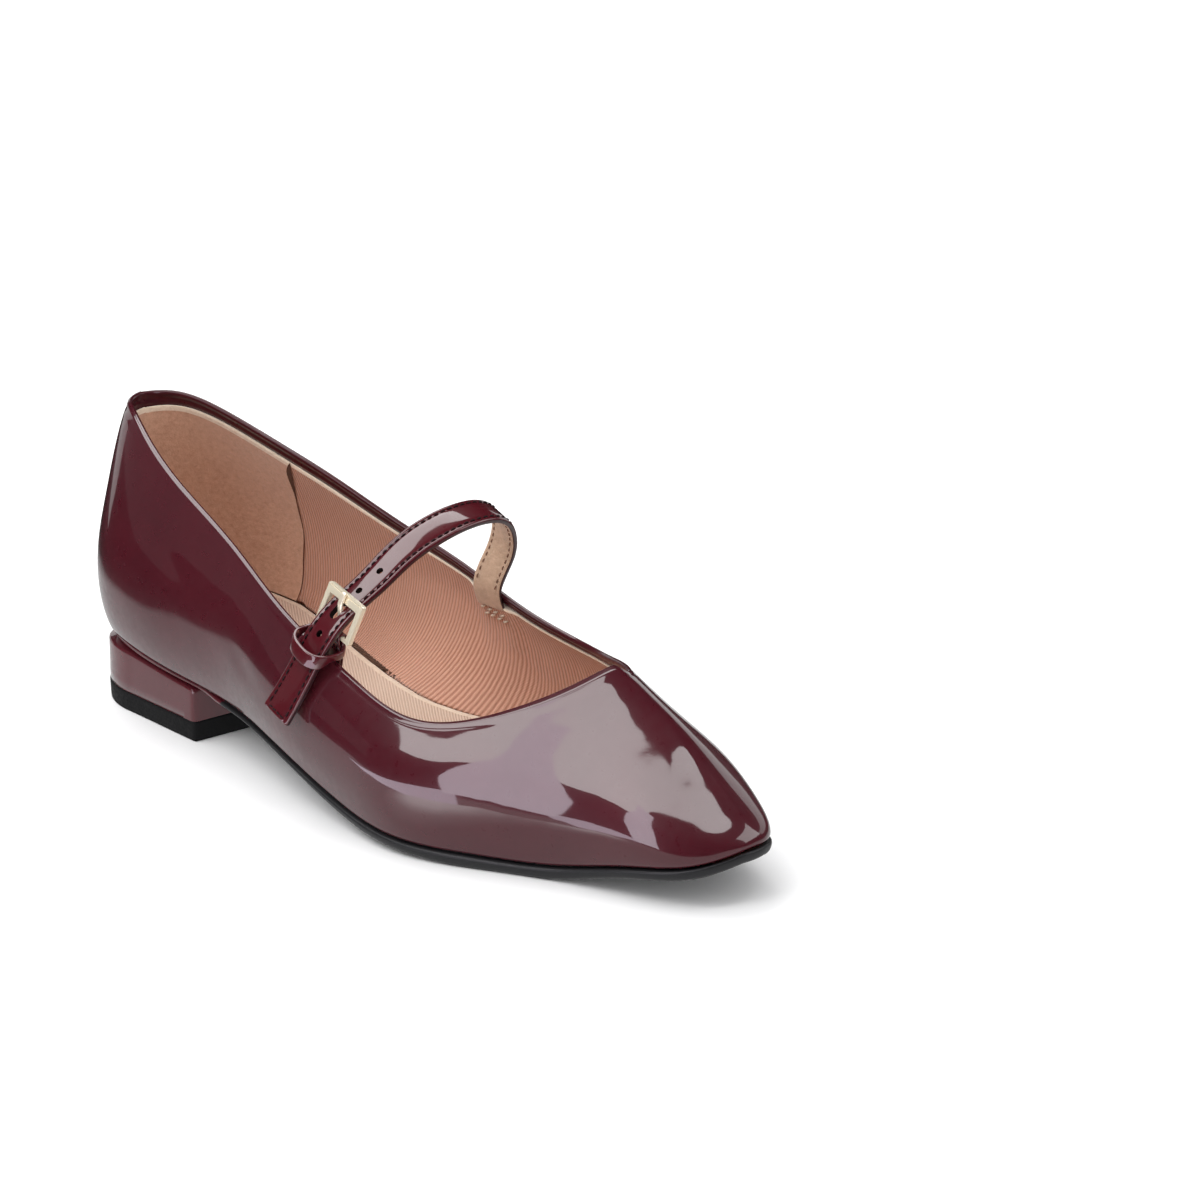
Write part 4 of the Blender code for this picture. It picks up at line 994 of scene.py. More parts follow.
def make_strap_skin(mats):
    end = RUN[-1]
    d = np.concatenate([[0, 0.15, 0.45], np.linspace(1.0, end - 1.0, 260), [end - 0.45, end - 0.15, end]])
    prof = np.array(STRAP_PROFILE)
    secs = []
    for x in d:
        mid, t, w, n = strap_at(x)
        e = min(x, end - x)
        thin = 1 - 0.45 * (1 - float(ease(5, 14, x)))
        shrink = 1.0 if e > 0.5 else 0.55 + 0.45 * math.sqrt(max(1 - (1 - e / 0.5) ** 2, 0))
        wide = 1.0 - (0.05 if x > end - 0.5 else 0) * (1 - e / 0.5 if e < 0.5 else 0)
        wave = 0.05 * math.sin(x / 3.1) + 0.04 * math.sin(x / 1.7 + 1)
        top = prof[:, 1] > 0.5
        p = prof.copy()
        p[:, 0] *= wide
        p[:, 1] *= thin * shrink
        p[top, 1] += wave * 0.5
        secs.append(mid + w * p[:, :1] + n * p[:, 1:])
    sec = np.array(secs)
    k = sec.shape[1]
    faces = [tuple(f) for f in loft_faces(len(d), k)]
    faces += [tuple(range(k))[::-1], tuple((len(d) - 1) * k + a for a in range(k))]
    a = np.tile(np.arange(k), len(d) - 1)
    idx = np.where(a < STRAP_SKIN_LAST + 1, 0, np.where((a >= STRAP_BACK_FIRST) & (a <= 36), 2, 1))
    idx = np.where(a >= 36, 1, idx)
    idx = list(idx) + [1, 1]
    uv = np.stack([np.repeat(d, k), np.tile(prof[:, 0], len(d))], -1) / 10
    ob = mesh_object("strap_skin", sec, faces, mats, idx, uv)
    cut_pins = []
    for x, hl, hw in [(v, HOLE * 0.86, HOLE * 0.86) for v in HOLES_AT] + [(PRONG_HOLE_AT,) + PRONG_SLOT]:
        mid, t, w, n = strap_at(x)
        ang = np.arange(28) / 28 * math.tau
        ring = t * (np.cos(ang) * hw)[:, None] + w * (np.sin(ang) * hw)[:, None] + t * ((hl - hw) * np.sign(np.cos(ang)))[:, None]
        sec = np.array([mid + ring - n * 3, mid + ring + n * 3])
        v, f = capped(sec)
        # The pin's near-black material goes to the hole's walls: painted shade inside the holes.
        pin = mesh_object("pin", v, f, [mats[3]])
        m = ob.modifiers.new("hole", "BOOLEAN")
        m.operation = "DIFFERENCE"
        m.solver = "EXACT"
        m.object = pin
        m.material_mode = "TRANSFER"
        cut_pins.append(pin)
    bpy.context.view_layer.update()
    dg = bpy.context.evaluated_depsgraph_get()
    me = bpy.data.meshes.new_from_object(ob.evaluated_get(dg))
    ob.modifiers.clear()
    ob.data = me
    for pin in cut_pins:
        bpy.data.objects.remove(pin, do_unlink=True)
    me.set_sharp_from_angle(angle=math.radians(50))
    return ob


def make_stitches(name_top, mat_top, name_low, mat_low):
    end = RUN[-1]
    tops, lows = [], []
    pitch = 2.25
    rng = np.random.default_rng(7)
    for row in (-3.82, 3.82):
        for x in np.arange(9.0, end - 1.8, pitch):
            mid, t, w, n = strap_at(x)
            if abs(x - BUCKLE_AT) < 1.3:
                pass
            j = rng.normal(0, 0.05, 2)
            dirn = unit(t + w * j[0])
            tops.append(stitch(mid + w * (row + j[1] * 0.5) + n * 0.74, dirn, n, 1.65, 0.27))
            lows.append(stitch(mid + w * row - n * 0.84, dirn, -n, 1.45, 0.20))
    mid, t, w, n = strap_at(end - 1.25)
    for y in (-2.6, -0.85, 0.9, 2.6):
        tops.append(stitch(mid + w * y + n * 0.93, unit(w + t * rng.normal(0, .12)), n, 1.6, 0.23))
        lows.append(stitch(mid + w * y - n * 0.84, w, -n, 1.2, 0.16))
    v, f = join_parts(tops)
    a = mesh_object(name_top, v, f, mat_top, flip=False)
    v, f = join_parts(lows)
    b = mesh_object(name_low, v, f, mat_low, flip=False)
    return a, b


def on_wall(x, z, side, depth, u0=0.2, u1=0.85):
    """Point, direction along the foot, up and normal on the upper's wall at depth under it."""
    u = np.linspace(u0, u1, 140)
    tau = np.linspace(0, 1, 60)
    g = shell(u[:, None], tau[None], side)
    i = np.unravel_index(np.argmin((g[..., 0] - x) ** 2 + (g[..., 2] - z) ** 2), g.shape[:2])
    n = normals_of(g, closed=False)[i]
    if n[1] * side < 0:
        n = -n
    up = unit(np.gradient(g, axis=1)[i])
    p = g[i] + (x - g[i][0]) * np.array((1.0, 0, 0)) + up * (z - g[i][2]) / max(up[2], 0.3)
    al = unit(np.cross(up, n))
    if al[0] < 0:
        al = -al
    return p - n * depth, al, up, n


def make_bartacks(mat_pale, mat_dark):
    """Two rows of pale stitches where the strap is sewn in, and crossed dark ones outside and
    below the buckle's tab."""
    pale, dark = [], []
    for r, dz in enumerate((0.0, -2.1)):
        for i in range(4):
            x = 121.8 + 2.7 * i + r * 0.9
            z = 40.7 + dz - 0.25 * i
            p, al, up, n = on_wall(x, z, MEDIAL, LINING_IN + 1.45)
            pale.append(stitch(p - n * 0.02, unit(al - up * 0.35), -n, 2.0, 0.38))
    for i in range(4):
        for s in (-1, 1):
            x = 122.3 + 2.6 * i
            p, al, up, n = on_wall(x, 39.2 - 0.3 * i, MEDIAL, -0.03)
            dark.append(stitch(p, unit(al + up * s * 0.9), n, 2.3, 0.24))
            p, al, up, n = on_wall(x + 1.4, 36.4 - 0.35 * i, LATERAL, LINING_IN + 0.96)
            dark.append(stitch(p, unit(al + up * s * 0.9), -n, 2.3, 0.24))
    v, f = join_parts(pale)
    a = mesh_object("bartack_pale", v, f, mat_pale, flip=False)
    v, f = join_parts(dark)
    b = mesh_object("bartack_dark", v, f, mat_dark, flip=False)
    return a, b


def soft_bar(half_w, half_t, bevel, steps=3):
    """Rounded rectangle as (across, out) pairs."""
    b = min(bevel, half_w * 0.95, half_t * 0.95)
    a = np.radians(np.linspace(0, 90, steps + 1))
    pts = []
    for cx, cy, q in ((1, 1, 0), (-1, 1, 1), (-1, -1, 2), (1, -1, 3)):
        for t in a:
            t = t + q * math.pi / 2
            pts.append((cx * (half_w - b) + b * math.cos(t), cy * (half_t - b) + b * math.sin(t)))
    return np.array(pts)


def make_tab_skin(mats):
    r = BAR_RADIUS + 0.2 + TAB_THIN
    off = TAB_THIN + 0.1
    leg = np.array(TAB_PATH)
    d = np.linspace(0, 1, 40)
    k = np.linspace(0, 1, len(leg))
    mid = np.stack([spline(k, leg[:, i], d) for i in (0, 1)], -1)
    t = unit(np.gradient(mid, axis=0))
    n = np.stack([-t[:, 1], t[:, 0]], -1)
    spread = off + (r - off) * ease(0.16, 0.0, d)[:, None] * 0.55
    up = (mid + n * spread)[::-1]
    dn = mid - n * spread
    a = np.radians(np.linspace(52, 308, 40))
    loop = np.stack([BAR_AT + r * np.cos(a), r * np.sin(a)], -1)
    p = np.concatenate([up, loop, dn])
    for _ in range(2):
        p[1:-1] = (p[:-2] + 2 * p[1:-1] + p[2:]) / 4
    t = unit(np.gradient(p, axis=0))
    prof = soft_bar(TAB_HALF, TAB_THIN, 0.22)
    secs = []
    for q, v in zip(p, t):
        c, ax, ou = in_buckle(q[0], TAB_SIDE, q[1]), B_ACROSS, B_OUT * v[0] - B_DOWN * v[1]
        secs.append(c + ax * prof[:, :1] + ou * prof[:, 1:])
    v, f = capped(np.array(secs))
    ob = mesh_object("tab_skin", v, f, mats)
    w = PRONG[0] / 2 + 0.3
    box = np.array([(-w, -2.3), (w, -2.3), (w, 2.3), (-w, 2.3)])
    sec = np.array([[in_buckle(z, x, y) for x, y in box] for z in (BAR_AT - 2.4, BAR_AT + 2.35)])
    v, f = capped(sec)
    pin = mesh_object("pin", v, f, mats)
    m = ob.modifiers.new("slot", "BOOLEAN")
    m.operation = "DIFFERENCE"
    m.solver = "EXACT"
    m.object = pin
    bpy.context.view_layer.update()
    dg = bpy.context.evaluated_depsgraph_get()
    me = bpy.data.meshes.new_from_object(ob.evaluated_get(dg))
    ob.modifiers.clear()
    ob.data = me
    bpy.data.objects.remove(pin, do_unlink=True)
    me.set_sharp_from_angle(angle=math.radians(45))
    return ob


def make_keeper_skin(mats):
    lean, droop = math.radians(KEEPER_LEAN), math.radians(KEEPER_DROOP)
    across = np.array((math.cos(lean), 0, -math.sin(lean)))
    axis = unit(np.array((math.sin(lean) * math.cos(droop), -math.sin(droop), math.cos(lean) * math.cos(droop))))
    out = np.cross(across, axis)
    turn = math.radians(KEEPER_TURN)
    across, out = across * math.cos(turn) + out * math.sin(turn), out * math.cos(turn) - across * math.sin(turn)
    half_w, half_d = KEEPER_HALF
    a = np.linspace(0, math.tau, 401)[:-1]
    e = 2 / 2.6
    x = half_w * np.sign(np.cos(a)) * np.abs(np.cos(a)) ** e
    y = half_d * np.sign(np.sin(a)) * np.abs(np.sin(a)) ** e
    p = np.stack([x, y], -1)
    step = np.concatenate([[0], np.cumsum(np.linalg.norm(np.diff(np.vstack([p, p[:1]]), axis=0), axis=1))])
    even = np.linspace(0, step[-1], 141)[:-1]
    p = np.stack([np.interp(even, step, np.append(p[:, i], p[0, i])) for i in (0, 1)], -1)
    t = unit(np.roll(p, -1, 0) - np.roll(p, 1, 0))
    mid = np.array(KEEPER_MID)
    side, front, back = KEEPER_BAND
    slant = unit(np.array(KEEPER_SLANT))
    secs = []
    for q, v in zip(p, t):
        more = (front if q[1] > 0 else back) - side
        band = side + more * float(ease(0.0, 0.6, abs(q[1]) / half_d))
        f = float(ease(-0.9, 0.9, q[1] / half_d))
        up = unit(axis * (1 - f) + slant * f)
        c = mid + across * q[0] + out * q[1] - up * (band - side) * 0.4
        prof = soft_bar(band / 2, KEEPER_THIN, 0.28)
        secs.append(c + up * prof[:, :1] + (across * v[1] - out * v[0]) * prof[:, 1:])
    v, f = capped(np.array(secs), closed=True)
    return mesh_object("keeper_skin", v, f, mats)


# ------------------------------------------------------------------ buckle
def make_buckle_frame(mat):
    nose, thick = NOSE_BAR
    rail, _ = RAIL
    r = BAR_RADIUS
    x0, x1 = BUCKLE_HALF - rail, BUCKLE_HALF
    corner = [math.pi / 2 * i / 8 for i in range(9)]
    top, low = -nose / 2, BAR_AT + r
    outer, inner, groove = [], [], []
    for z in np.linspace(0, x1 - 1.2, 14):
        outer.append((top, z, thick / 2))
        inner.append((nose / 2, min(z, x0 - 0.45) * (x0 - 0.4) / (x1 - 1.2) if z > 0 else 0.0, thick / 2))
        groove.append(1.0)
    for a in corner:
        outer.append((top + 0.9 - 0.9 * math.cos(a), x1 - 0.9 + 0.9 * math.sin(a), thick / 2))
        inner.append((nose / 2 + 0.35 - 0.35 * math.cos(a), x0 - 0.35 + 0.35 * math.sin(a), thick / 2))
        groove.append(max(0.0, 1.0 - a * 0.9))
    for k in np.linspace(0.1, 1.0, 10):
        z0, z1 = 0.9 + top, low - 1.6
        w0, w1 = nose / 2 + 0.35, BAR_AT - r - 0.6
        outer.append((z0 + (z1 - z0) * k, x1, thick / 2))
        inner.append((w0 + (w1 - w0) * k, x0, thick / 2))
        groove.append(0.0)
    for a in corner:
        outer.append((low - 0.8 + 0.8 * math.sin(a), x1 - 0.8 + 0.8 * math.cos(a), r + (thick / 2 - r) * math.cos(a) ** 2))
        inner.append((BAR_AT - r - 0.3 + 0.3 * math.sin(a), x0 - 0.3 + 0.3 * math.cos(a), r + (thick / 2 - r) * math.cos(a) ** 2))
        groove.append(0.0)
    for k in np.linspace(0.92, 0.0, 12):
        outer.append((low, (x1 - 0.8) * k, r))
        inner.append((BAR_AT - r, (x0 - 0.3) * k, r))
        groove.append(0.0)
    mo = [(d, -x, h) for d, x, h in outer[::-1][1:-1]]
    mi = [(d, -x, h) for d, x, h in inner[::-1][1:-1]]
    outer, inner, groove = outer + mo, inner + mi, groove + groove[::-1][1:-1]
    secs = []
    for (od, oa, oh), (idn, ia, ih), gr in zip(outer, inner, groove):
        o, i = np.array((od, oa)), np.array((idn, ia))
        wd = float(np.linalg.norm(i - o))
        u = (i - o) / wd
        h = (oh + ih) / 2
        c = 0.2
        q = [(0, -h + c), (c * .3, -h + c * .3), (c, -h), (wd - c, -h), (wd - c * .3, -h + c * .3), (wd, -h + c),
             (wd, h - c), (wd - c * .3, h - c * .3), (wd - c, h), (wd * .6, h + 0.03),
             (0.92 if wd > 2 else wd * .5, h), (0.80 if wd > 2 else wd * .45, h - 0.03 - 0.17 * gr),
             (0.64 if wd > 2 else wd * .4, h - 0.03 - 0.17 * gr), (0.52 if wd > 2 else wd * .35, h),
             (c, h), (c * .3, h - c * .3), (0, h - c)]
        secs.append([in_buckle(*(o + u * a), z) for a, z in q])
    sec = np.array(secs)
    v, f = capped(sec, closed=True)
    return mesh_object("buckle_frame_skin", v, f, mat, sharp=35)


def make_prong_skin(mat):
    w, th = PRONG
    r = BAR_RADIUS + 0.2 + th / 2
    top = NOSE_BAR[1] / 2 + 0.15 + th / 2
    path = [(BAR_AT + r * math.cos(a), r * math.sin(a)) for a in np.radians(np.linspace(140, -96, 24))]
    path += [(BAR_AT - 2.4, -0.95), (BAR_AT - 4.0, -0.45), (4.6, 0.1), (3.0, 0.85), (1.6, top), (0.4, top + .05), (-0.9, top), (-1.35, top - .3)]
    p = np.array(path)
    d = np.concatenate([[0], np.cumsum(np.linalg.norm(np.diff(p, axis=0), axis=1))])
    e = np.linspace(0, d[-1], 90)
    p = np.stack([spline(d, p[:, i], e) for i in (0, 1)], -1)
    t = unit(np.gradient(p, axis=0))
    secs = []
    for i, ((dd, h), (td, th_)) in enumerate(zip(p, t)):
        k = e[-1] - e[i]
        half = w / 2 * (1.0 if k > 0.7 else 0.6 + 0.4 * math.sqrt(max(1 - (1 - k / 0.7) ** 2, 0)))
        fl = th / 2 * (1.0 if 0.3 < k and e[i] > 0.3 else 0.7)
        prof = soft_bar(half, fl, 0.3)
        out = B_DOWN * -th_ + B_OUT * td
        secs.append(in_buckle(dd, 0, h) + B_ACROSS * prof[:, :1] + out * prof[:, 1:])
    v, f = capped(np.array(secs))
    return mesh_object("buckle_prong_skin", v, f, mat, sharp=50)


# ------------------------------------------------------------------ materials
class Nodes:
    """Small helper that builds a procedural material node by node."""

    def __init__(self, name, **values):
        self.mat = bpy.data.materials.new(name)
        self.mat.use_nodes = True
        self.t = self.mat.node_tree
        self.bsdf = self.t.nodes["Principled BSDF"]
        for k, v in values.items():
            s = self.bsdf.inputs[k.replace("_", " ")]
            s.default_value = (*v, 1.0) if isinstance(v, tuple) and len(v) == 3 and s.type == "RGBA" else v

    def add(self, kind, **kw):
        n = self.t.nodes.new(kind)
        for k, v in kw.items():
            if k.startswith("in_"):
                key = k[3:].replace("_", " ")
                n.inputs[key].default_value = v
            else:
                setattr(n, k, v)
        return n

    def link(self, a, b):
        self.t.links.new(a, b)

    def coords(self, which="Object"):
        return self.add("ShaderNodeTexCoord").outputs[which]

    def scaled(self, vec, sx, sy=None, sz=None, rot=(0, 0, 0)):
        m = self.add("ShaderNodeMapping")
        m.inputs["Scale"].default_value = (sx, sy if sy is not None else sx, sz if sz is not None else sx)
        m.inputs["Rotation"].default_value = rot
        self.link(vec, m.inputs["Vector"])
        return m.outputs["Vector"]

    def noise(self, vec, scale, detail=3.0, rough=0.5):
        n = self.add("ShaderNodeTexNoise", in_Scale=scale, in_Detail=detail, in_Roughness=rough)
        self.link(vec, n.inputs["Vector"])
        return n.outputs["Fac"]

    def ramp(self, fac, stops):
        r = self.add("ShaderNodeValToRGB")
        e = r.color_ramp.elements
        while len(e) < len(stops):
            e.new(0.5)
        for el, (p, c) in zip(e, stops):
            el.position = p
            el.color = (*c, 1.0) if len(c) == 3 else c
        self.link(fac, r.inputs["Fac"])
        return r.outputs["Color"]

    def mix(self, fac, a, b, mode="MIX"):
        m = self.add("ShaderNodeMix", data_type="RGBA", blend_type=mode)
        for s, v in ((m.inputs[0], fac), (m.inputs[6], a), (m.inputs[7], b)):
            if isinstance(v, (tuple, list)):
                s.default_value = (*v, 1.0) if len(v) == 3 else v
            elif isinstance(v, (int, float)):
                s.default_value = v
            else:
                self.link(v, s)
        return m.outputs[2]

    def math(self, op, a, b=0.0, c=None):
        m = self.add("ShaderNodeMath", operation=op)
        for i, v in enumerate((a, b) if c is None else (a, b, c)):
            if isinstance(v, (int, float)):
                m.inputs[i].default_value = v
            else:
                self.link(v, m.inputs[i])
        return m.outputs[0]

    def bump(self, height, strength, distance, normal=None):
        b = self.add("ShaderNodeBump", in_Strength=strength, in_Distance=distance)
        self.link(height, b.inputs["Height"])
        if normal is not None:
            self.link(normal, b.inputs["Normal"])
        return b.outputs["Normal"]

    def put(self, socket, out):
        self.link(out, self.bsdf.inputs[socket])


def patent_material(name, base, deep, wave=1.0):
    """Patent leather: dyed leather under a clear, slightly uneven coat."""
    m = Nodes(name, Roughness=0.40, IOR=1.45, Specular_IOR_Level=0.15, Coat_Weight=1.0, Coat_Roughness=0.05, Coat_IOR=1.58)
    p = m.coords()
    soft = m.noise(p, 55.0, 2.0, 0.45)
    fine = m.noise(p, 420.0, 3.0, 0.55)
    pores = m.noise(p, 1500.0, 2.0, 0.5)
    m.put("Base Color", m.mix(soft, base, deep))
    m.put("Roughness", m.ramp(fine, ((0.3, (0.26,) * 3), (0.75, (0.42,) * 3))))
    n1 = m.bump(soft, 0.30 * wave, 0.0010)
    n2 = m.bump(fine, 0.06 * wave, 0.00010, n1)
    n3 = m.bump(pores, 0.03, 0.00002, n2)
    m.put("Normal", n3)
    m.put("Coat Normal", m.bump(fine, 0.03 * wave, 0.00006, m.bump(soft, 0.26 * wave, 0.0009)))
    return m.mat


def edge_paint_material(name, base):
    m = Nodes(name, Roughness=0.3, Coat_Weight=0.5, Coat_Roughness=0.2)
    p = m.coords()
    f = m.noise(p, 900.0, 3.0)
    m.put("Base Color", m.mix(f, base, tuple(0.6 * c for c in base)))
    m.put("Roughness", m.ramp(f, ((0.3, (0.28,) * 3), (0.7, (0.5,) * 3))))
    m.put("Normal", m.bump(f, 0.3, 0.00010))
    return m.mat


def textile_material(name, light, dark, pitch, slant=0.0, depth=1.0):
    """Ribbed lining cloth: ribs run down the wall, crossed by finer threads. UV is in cm."""
    m = Nodes(name, Roughness=0.85, Sheen_Weight=0.25, Sheen_Roughness=0.6, Specular_IOR_Level=0.25)
    uv = m.coords("UV")
    wob = m.noise(uv, 3.2, 2.0)
    sep = m.add("ShaderNodeSeparateXYZ")
    m.link(uv, sep.inputs[0])
    x = m.math("ADD", sep.outputs[0], m.math("MULTIPLY", sep.outputs[1], slant))
    x = m.math("ADD", x, m.math("MULTIPLY", wob, 0.03))
    rib = m.math("SINE", m.math("MULTIPLY", x, math.tau / (pitch / 10)))
    rib = m.math("MULTIPLY_ADD", rib, 0.5, 0.5)
    cross = m.math("SINE", m.math("MULTIPLY", sep.outputs[1], math.tau / 0.045))
    cross = m.math("MULTIPLY_ADD", cross, 0.5, 0.5)
    thread = m.noise(m.scaled(uv, 16.0, 4.0), 5.0, 3.0)
    h = m.math("ADD", rib, m.math("MULTIPLY", cross, 0.35))
    h = m.math("ADD", h, m.math("MULTIPLY", thread, 0.6))
    tone = m.noise(uv, 0.8, 3.0)
    # The cloth is darker in the grooves between the ribs, following the rib height: painted shade in the grooves.
    c = m.mix(m.ramp(rib, ((0.05, (0.0,) * 3), (0.75, (1.0,) * 3))), dark, light)
    c = m.mix(m.ramp(thread, ((0.35, (0.0,) * 3), (0.75, (0.16,) * 3))), c, tuple(0.72 * v for v in light))
    c = m.mix(m.ramp(tone, ((0.35, (0.0,) * 3), (0.7, (0.2,) * 3))), c, tuple(0.88 * v for v in light))
    m.put("Base Color", c)
    m.put("Normal", m.bump(h, 0.8 * depth, 0.00035))
    return m.mat


def suede_material(name, light, dark, nap=900.0, edge=False):
    m = Nodes(name, Roughness=0.95, Sheen_Weight=0.45, Sheen_Roughness=0.45, Specular_IOR_Level=0.15)
    p = m.coords()
    fine = m.noise(p, nap, 5.0, 0.65)
    brushed = m.noise(m.scaled(p, 150.0, 150.0, 260.0, (0.3, 0.2, 0.5)), 3.0, 4.0, 0.7)
    broad = m.noise(p, 38.0, 3.0)
    c = m.mix(m.ramp(brushed, ((0.3, (0.0,) * 3), (0.72, (1.0,) * 3))), dark, light)
    c = m.mix(m.ramp(broad, ((0.35, (0.0,) * 3), (0.7, (0.45,) * 3))), c, tuple(0.88 * v for v in light))
    c = m.mix(m.ramp(fine, ((0.4, (0.0,) * 3), (0.8, (0.4,) * 3))), c, tuple(min(1, 1.16 * v) for v in light))
    m.put("Base Color", c)
    m.put("Normal", m.bump(fine, 0.6, 0.00035, m.bump(brushed, 0.35, 0.0004)))
    return m.mat


def gold_material(name, tint, rough):
    m = Nodes(name, Metallic=0.48, Roughness=rough)
    p = m.coords()
    f = m.noise(p, 180.0, 2.0)
    m.put("Base Color", m.mix(f, tint, tuple(0.93 * v for v in tint)))
    m.put("Roughness", m.ramp(f, ((0.3, (rough * 0.9,) * 3), (0.75, (rough * 1.15,) * 3))))
    m.put("Normal", m.bump(f, 0.04, 0.0001))
    return m.mat


def rubber_material(name, base, rough, coat):
    m = Nodes(name, Roughness=rough, Coat_Weight=coat, Coat_Roughness=0.22, Specular_IOR_Level=0.10)
    p = m.coords()
    f = m.noise(p, 1100.0, 4.0, 0.6)
    b = m.noise(p, 40.0, 3.0)
    m.put("Base Color", m.mix(b, base, tuple(1.7 * v for v in base)))
    m.put("Roughness", m.ramp(f, ((0.3, (rough * 0.8,) * 3), (0.75, (min(rough * 1.4, 1.0),) * 3))))
    m.put("Normal", m.bump(f, 0.22, 0.00012))
    return m.mat


def tread_material(name, base):
    """Sole: satin edge, fine diamond tread underneath where the face looks down."""
    m = Nodes(name, Roughness=0.45, Coat_Weight=0.06, Coat_Roughness=0.25, Specular_IOR_Level=0.32)
    p = m.coords()
    f = m.noise(p, 900.0, 4.0, 0.6)
    sep = m.add("ShaderNodeSeparateXYZ")
    m.link(p, sep.inputs[0])
    a = m.math("ADD", sep.outputs[0], sep.outputs[1])
    b = m.math("SUBTRACT", sep.outputs[0], sep.outputs[1])
    k = math.tau / 0.0042
    w = m.math("MAXIMUM", m.math("SINE", m.math("MULTIPLY", a, k)), m.math("SINE", m.math("MULTIPLY", b, k)))
    geo = m.add("ShaderNodeNewGeometry")
    sn = m.add("ShaderNodeSeparateXYZ")
    m.link(geo.outputs["True Normal"], sn.inputs[0])
    down = m.math("GREATER_THAN", m.math("MULTIPLY", sn.outputs[2], -1.0), 0.75)
    m.put("Base Color", m.mix(f, base, tuple(1.6 * v for v in base)))
    m.put("Roughness", m.mix(down, m.ramp(f, ((0.3, (0.38,) * 3), (0.75, (0.52,) * 3))), (0.62, 0.62, 0.62)))
    h = m.math("MULTIPLY", w, down)
    m.put("Normal", m.bump(h, 0.5, 0.0003, m.bump(f, 0.15, 0.00008)))
    return m.mat


def thread_material(name, tint):
    m = Nodes(name, Roughness=0.7, Sheen_Weight=0.08 if tint[0] > 0.3 else 0.0, Specular_IOR_Level=0.2)
    p = m.coords()
    f = m.noise(p, 2600.0, 2.0)
    m.put("Base Color", m.mix(f, tint, tuple(0.55 * v for v in tint)))
    m.put("Normal", m.bump(f, 0.5, 0.0001))
    return m.mat


def floor_material():
    m = Nodes("floor_white", Roughness=0.8, Specular_IOR_Level=0.0)
    p = m.coords()
    f = m.noise(p, 300.0, 3.0)
    m.put("Base Color", m.mix(f, FLOOR_TINT, tuple(0.985 * v for v in FLOOR_TINT)))
    return m.mat


FLOOR_TINT = (0.93, 0.93, 0.935)
WORLD_TINT = (1.0, 1.0, 1.0)
WORLD_LEVEL = 0.92

# ------------------------------------------------------------------ build
PATENT = patent_material("patent_burgundy", (0.070, 0.0075, 0.0135), (0.050, 0.0050, 0.0100))
PATENT_HEEL = patent_material("patent_heel", (0.095, 0.010, 0.017), (0.070, 0.0070, 0.0125), 0.5)
PATENT_STRAP = patent_material("patent_strap", (0.085, 0.0060, 0.0110), (0.060, 0.0045, 0.0085), 0.8)
EDGE_PAINT = edge_paint_material("edge_paint", (0.040, 0.0035, 0.0065))
BACKING = suede_material("skin_backing", (0.42, 0.30, 0.22), (0.30, 0.2, 0.14))
STRAP_BACK = suede_material("strap_suede", (0.60, 0.42, 0.30), (0.42, 0.28, 0.19))
# The second colour of the lining and sock cloths is painted shade in the grooves between the ribs.
LINING = textile_material("lining_textile", (0.73, 0.385, 0.265), (0.47, 0.20, 0.122), 1.15)
# Pale cream edge of the lining: partly its own colour, partly a painted highlight on the lit, thick edge.
LINING_EDGE = suede_material("lining_edge", (0.97, 0.83, 0.68), (0.82, 0.64, 0.50), 1300.0)
SOCK = textile_material("sock_textile", (0.75, 0.56, 0.44), (0.52, 0.345, 0.245), 1.40, 1.43, 0.7)
# Paler rim of the sock: partly its own colour, partly a painted highlight on the rounded rim.
SOCK_EDGE = suede_material("sock_edge", (0.84, 0.68, 0.54), (0.64, 0.48, 0.36), 1300.0)
COUNTER_SUEDE = suede_material("counter_suede", (0.68, 0.41, 0.285), (0.50, 0.28, 0.19))
# Pale cream top edge of the counter: partly its own colour, partly a painted highlight on the lit edge.
COUNTER_EDGE = suede_material("counter_edge", (0.90, 0.75, 0.60), (0.70, 0.54, 0.41), 1300.0)
GOLD = gold_material("pale_gold", (0.97, 0.87, 0.68), 0.22)
GOLD_BAR = gold_material("pale_gold_prong", (0.96, 0.84, 0.67), 0.22)
SOLE = tread_material("black_sole", (0.010, 0.0100, 0.0115))
LIFT = rubber_material("top_lift_rubber", (0.0065, 0.0065, 0.007), 0.55, 0.0)
THREAD_DARK = thread_material("thread_burgundy", (0.022, 0.003, 0.005))
THREAD_PALE = thread_material("thread_cream", (0.80, 0.64, 0.50))
# Brown thread of the strap's back stitches; the same dark brown on the counter's cut front ends is painted shade of
# the gap there.
BROWN_THREAD_AND_GAP_SHADE = thread_material("brown_thread_and_gap_shade", (0.26, 0.14, 0.095))
# Near-black walls of the punched holes, darker than the edge paint: painted shade inside the holes.
HOLE_SHADE = thread_material("hole_painted_shade", (0.010, 0.0015, 0.0025))
TAB = patent_material("patent_tab", (0.075, 0.0065, 0.012), (0.055, 0.005, 0.0095), 0.6)

# Darker, less glossy copy of the patent for the collar's roll: painted shade that damps its reflection.
PATENT_ROLL_SHADED = patent_material("patent_roll_shaded", (0.060, 0.0065, 0.0115), (0.042, 0.0045, 0.0085), 0.5)
PATENT_ROLL_SHADED.node_tree.nodes["Principled BSDF"].inputs["Coat Weight"].default_value = 0.35

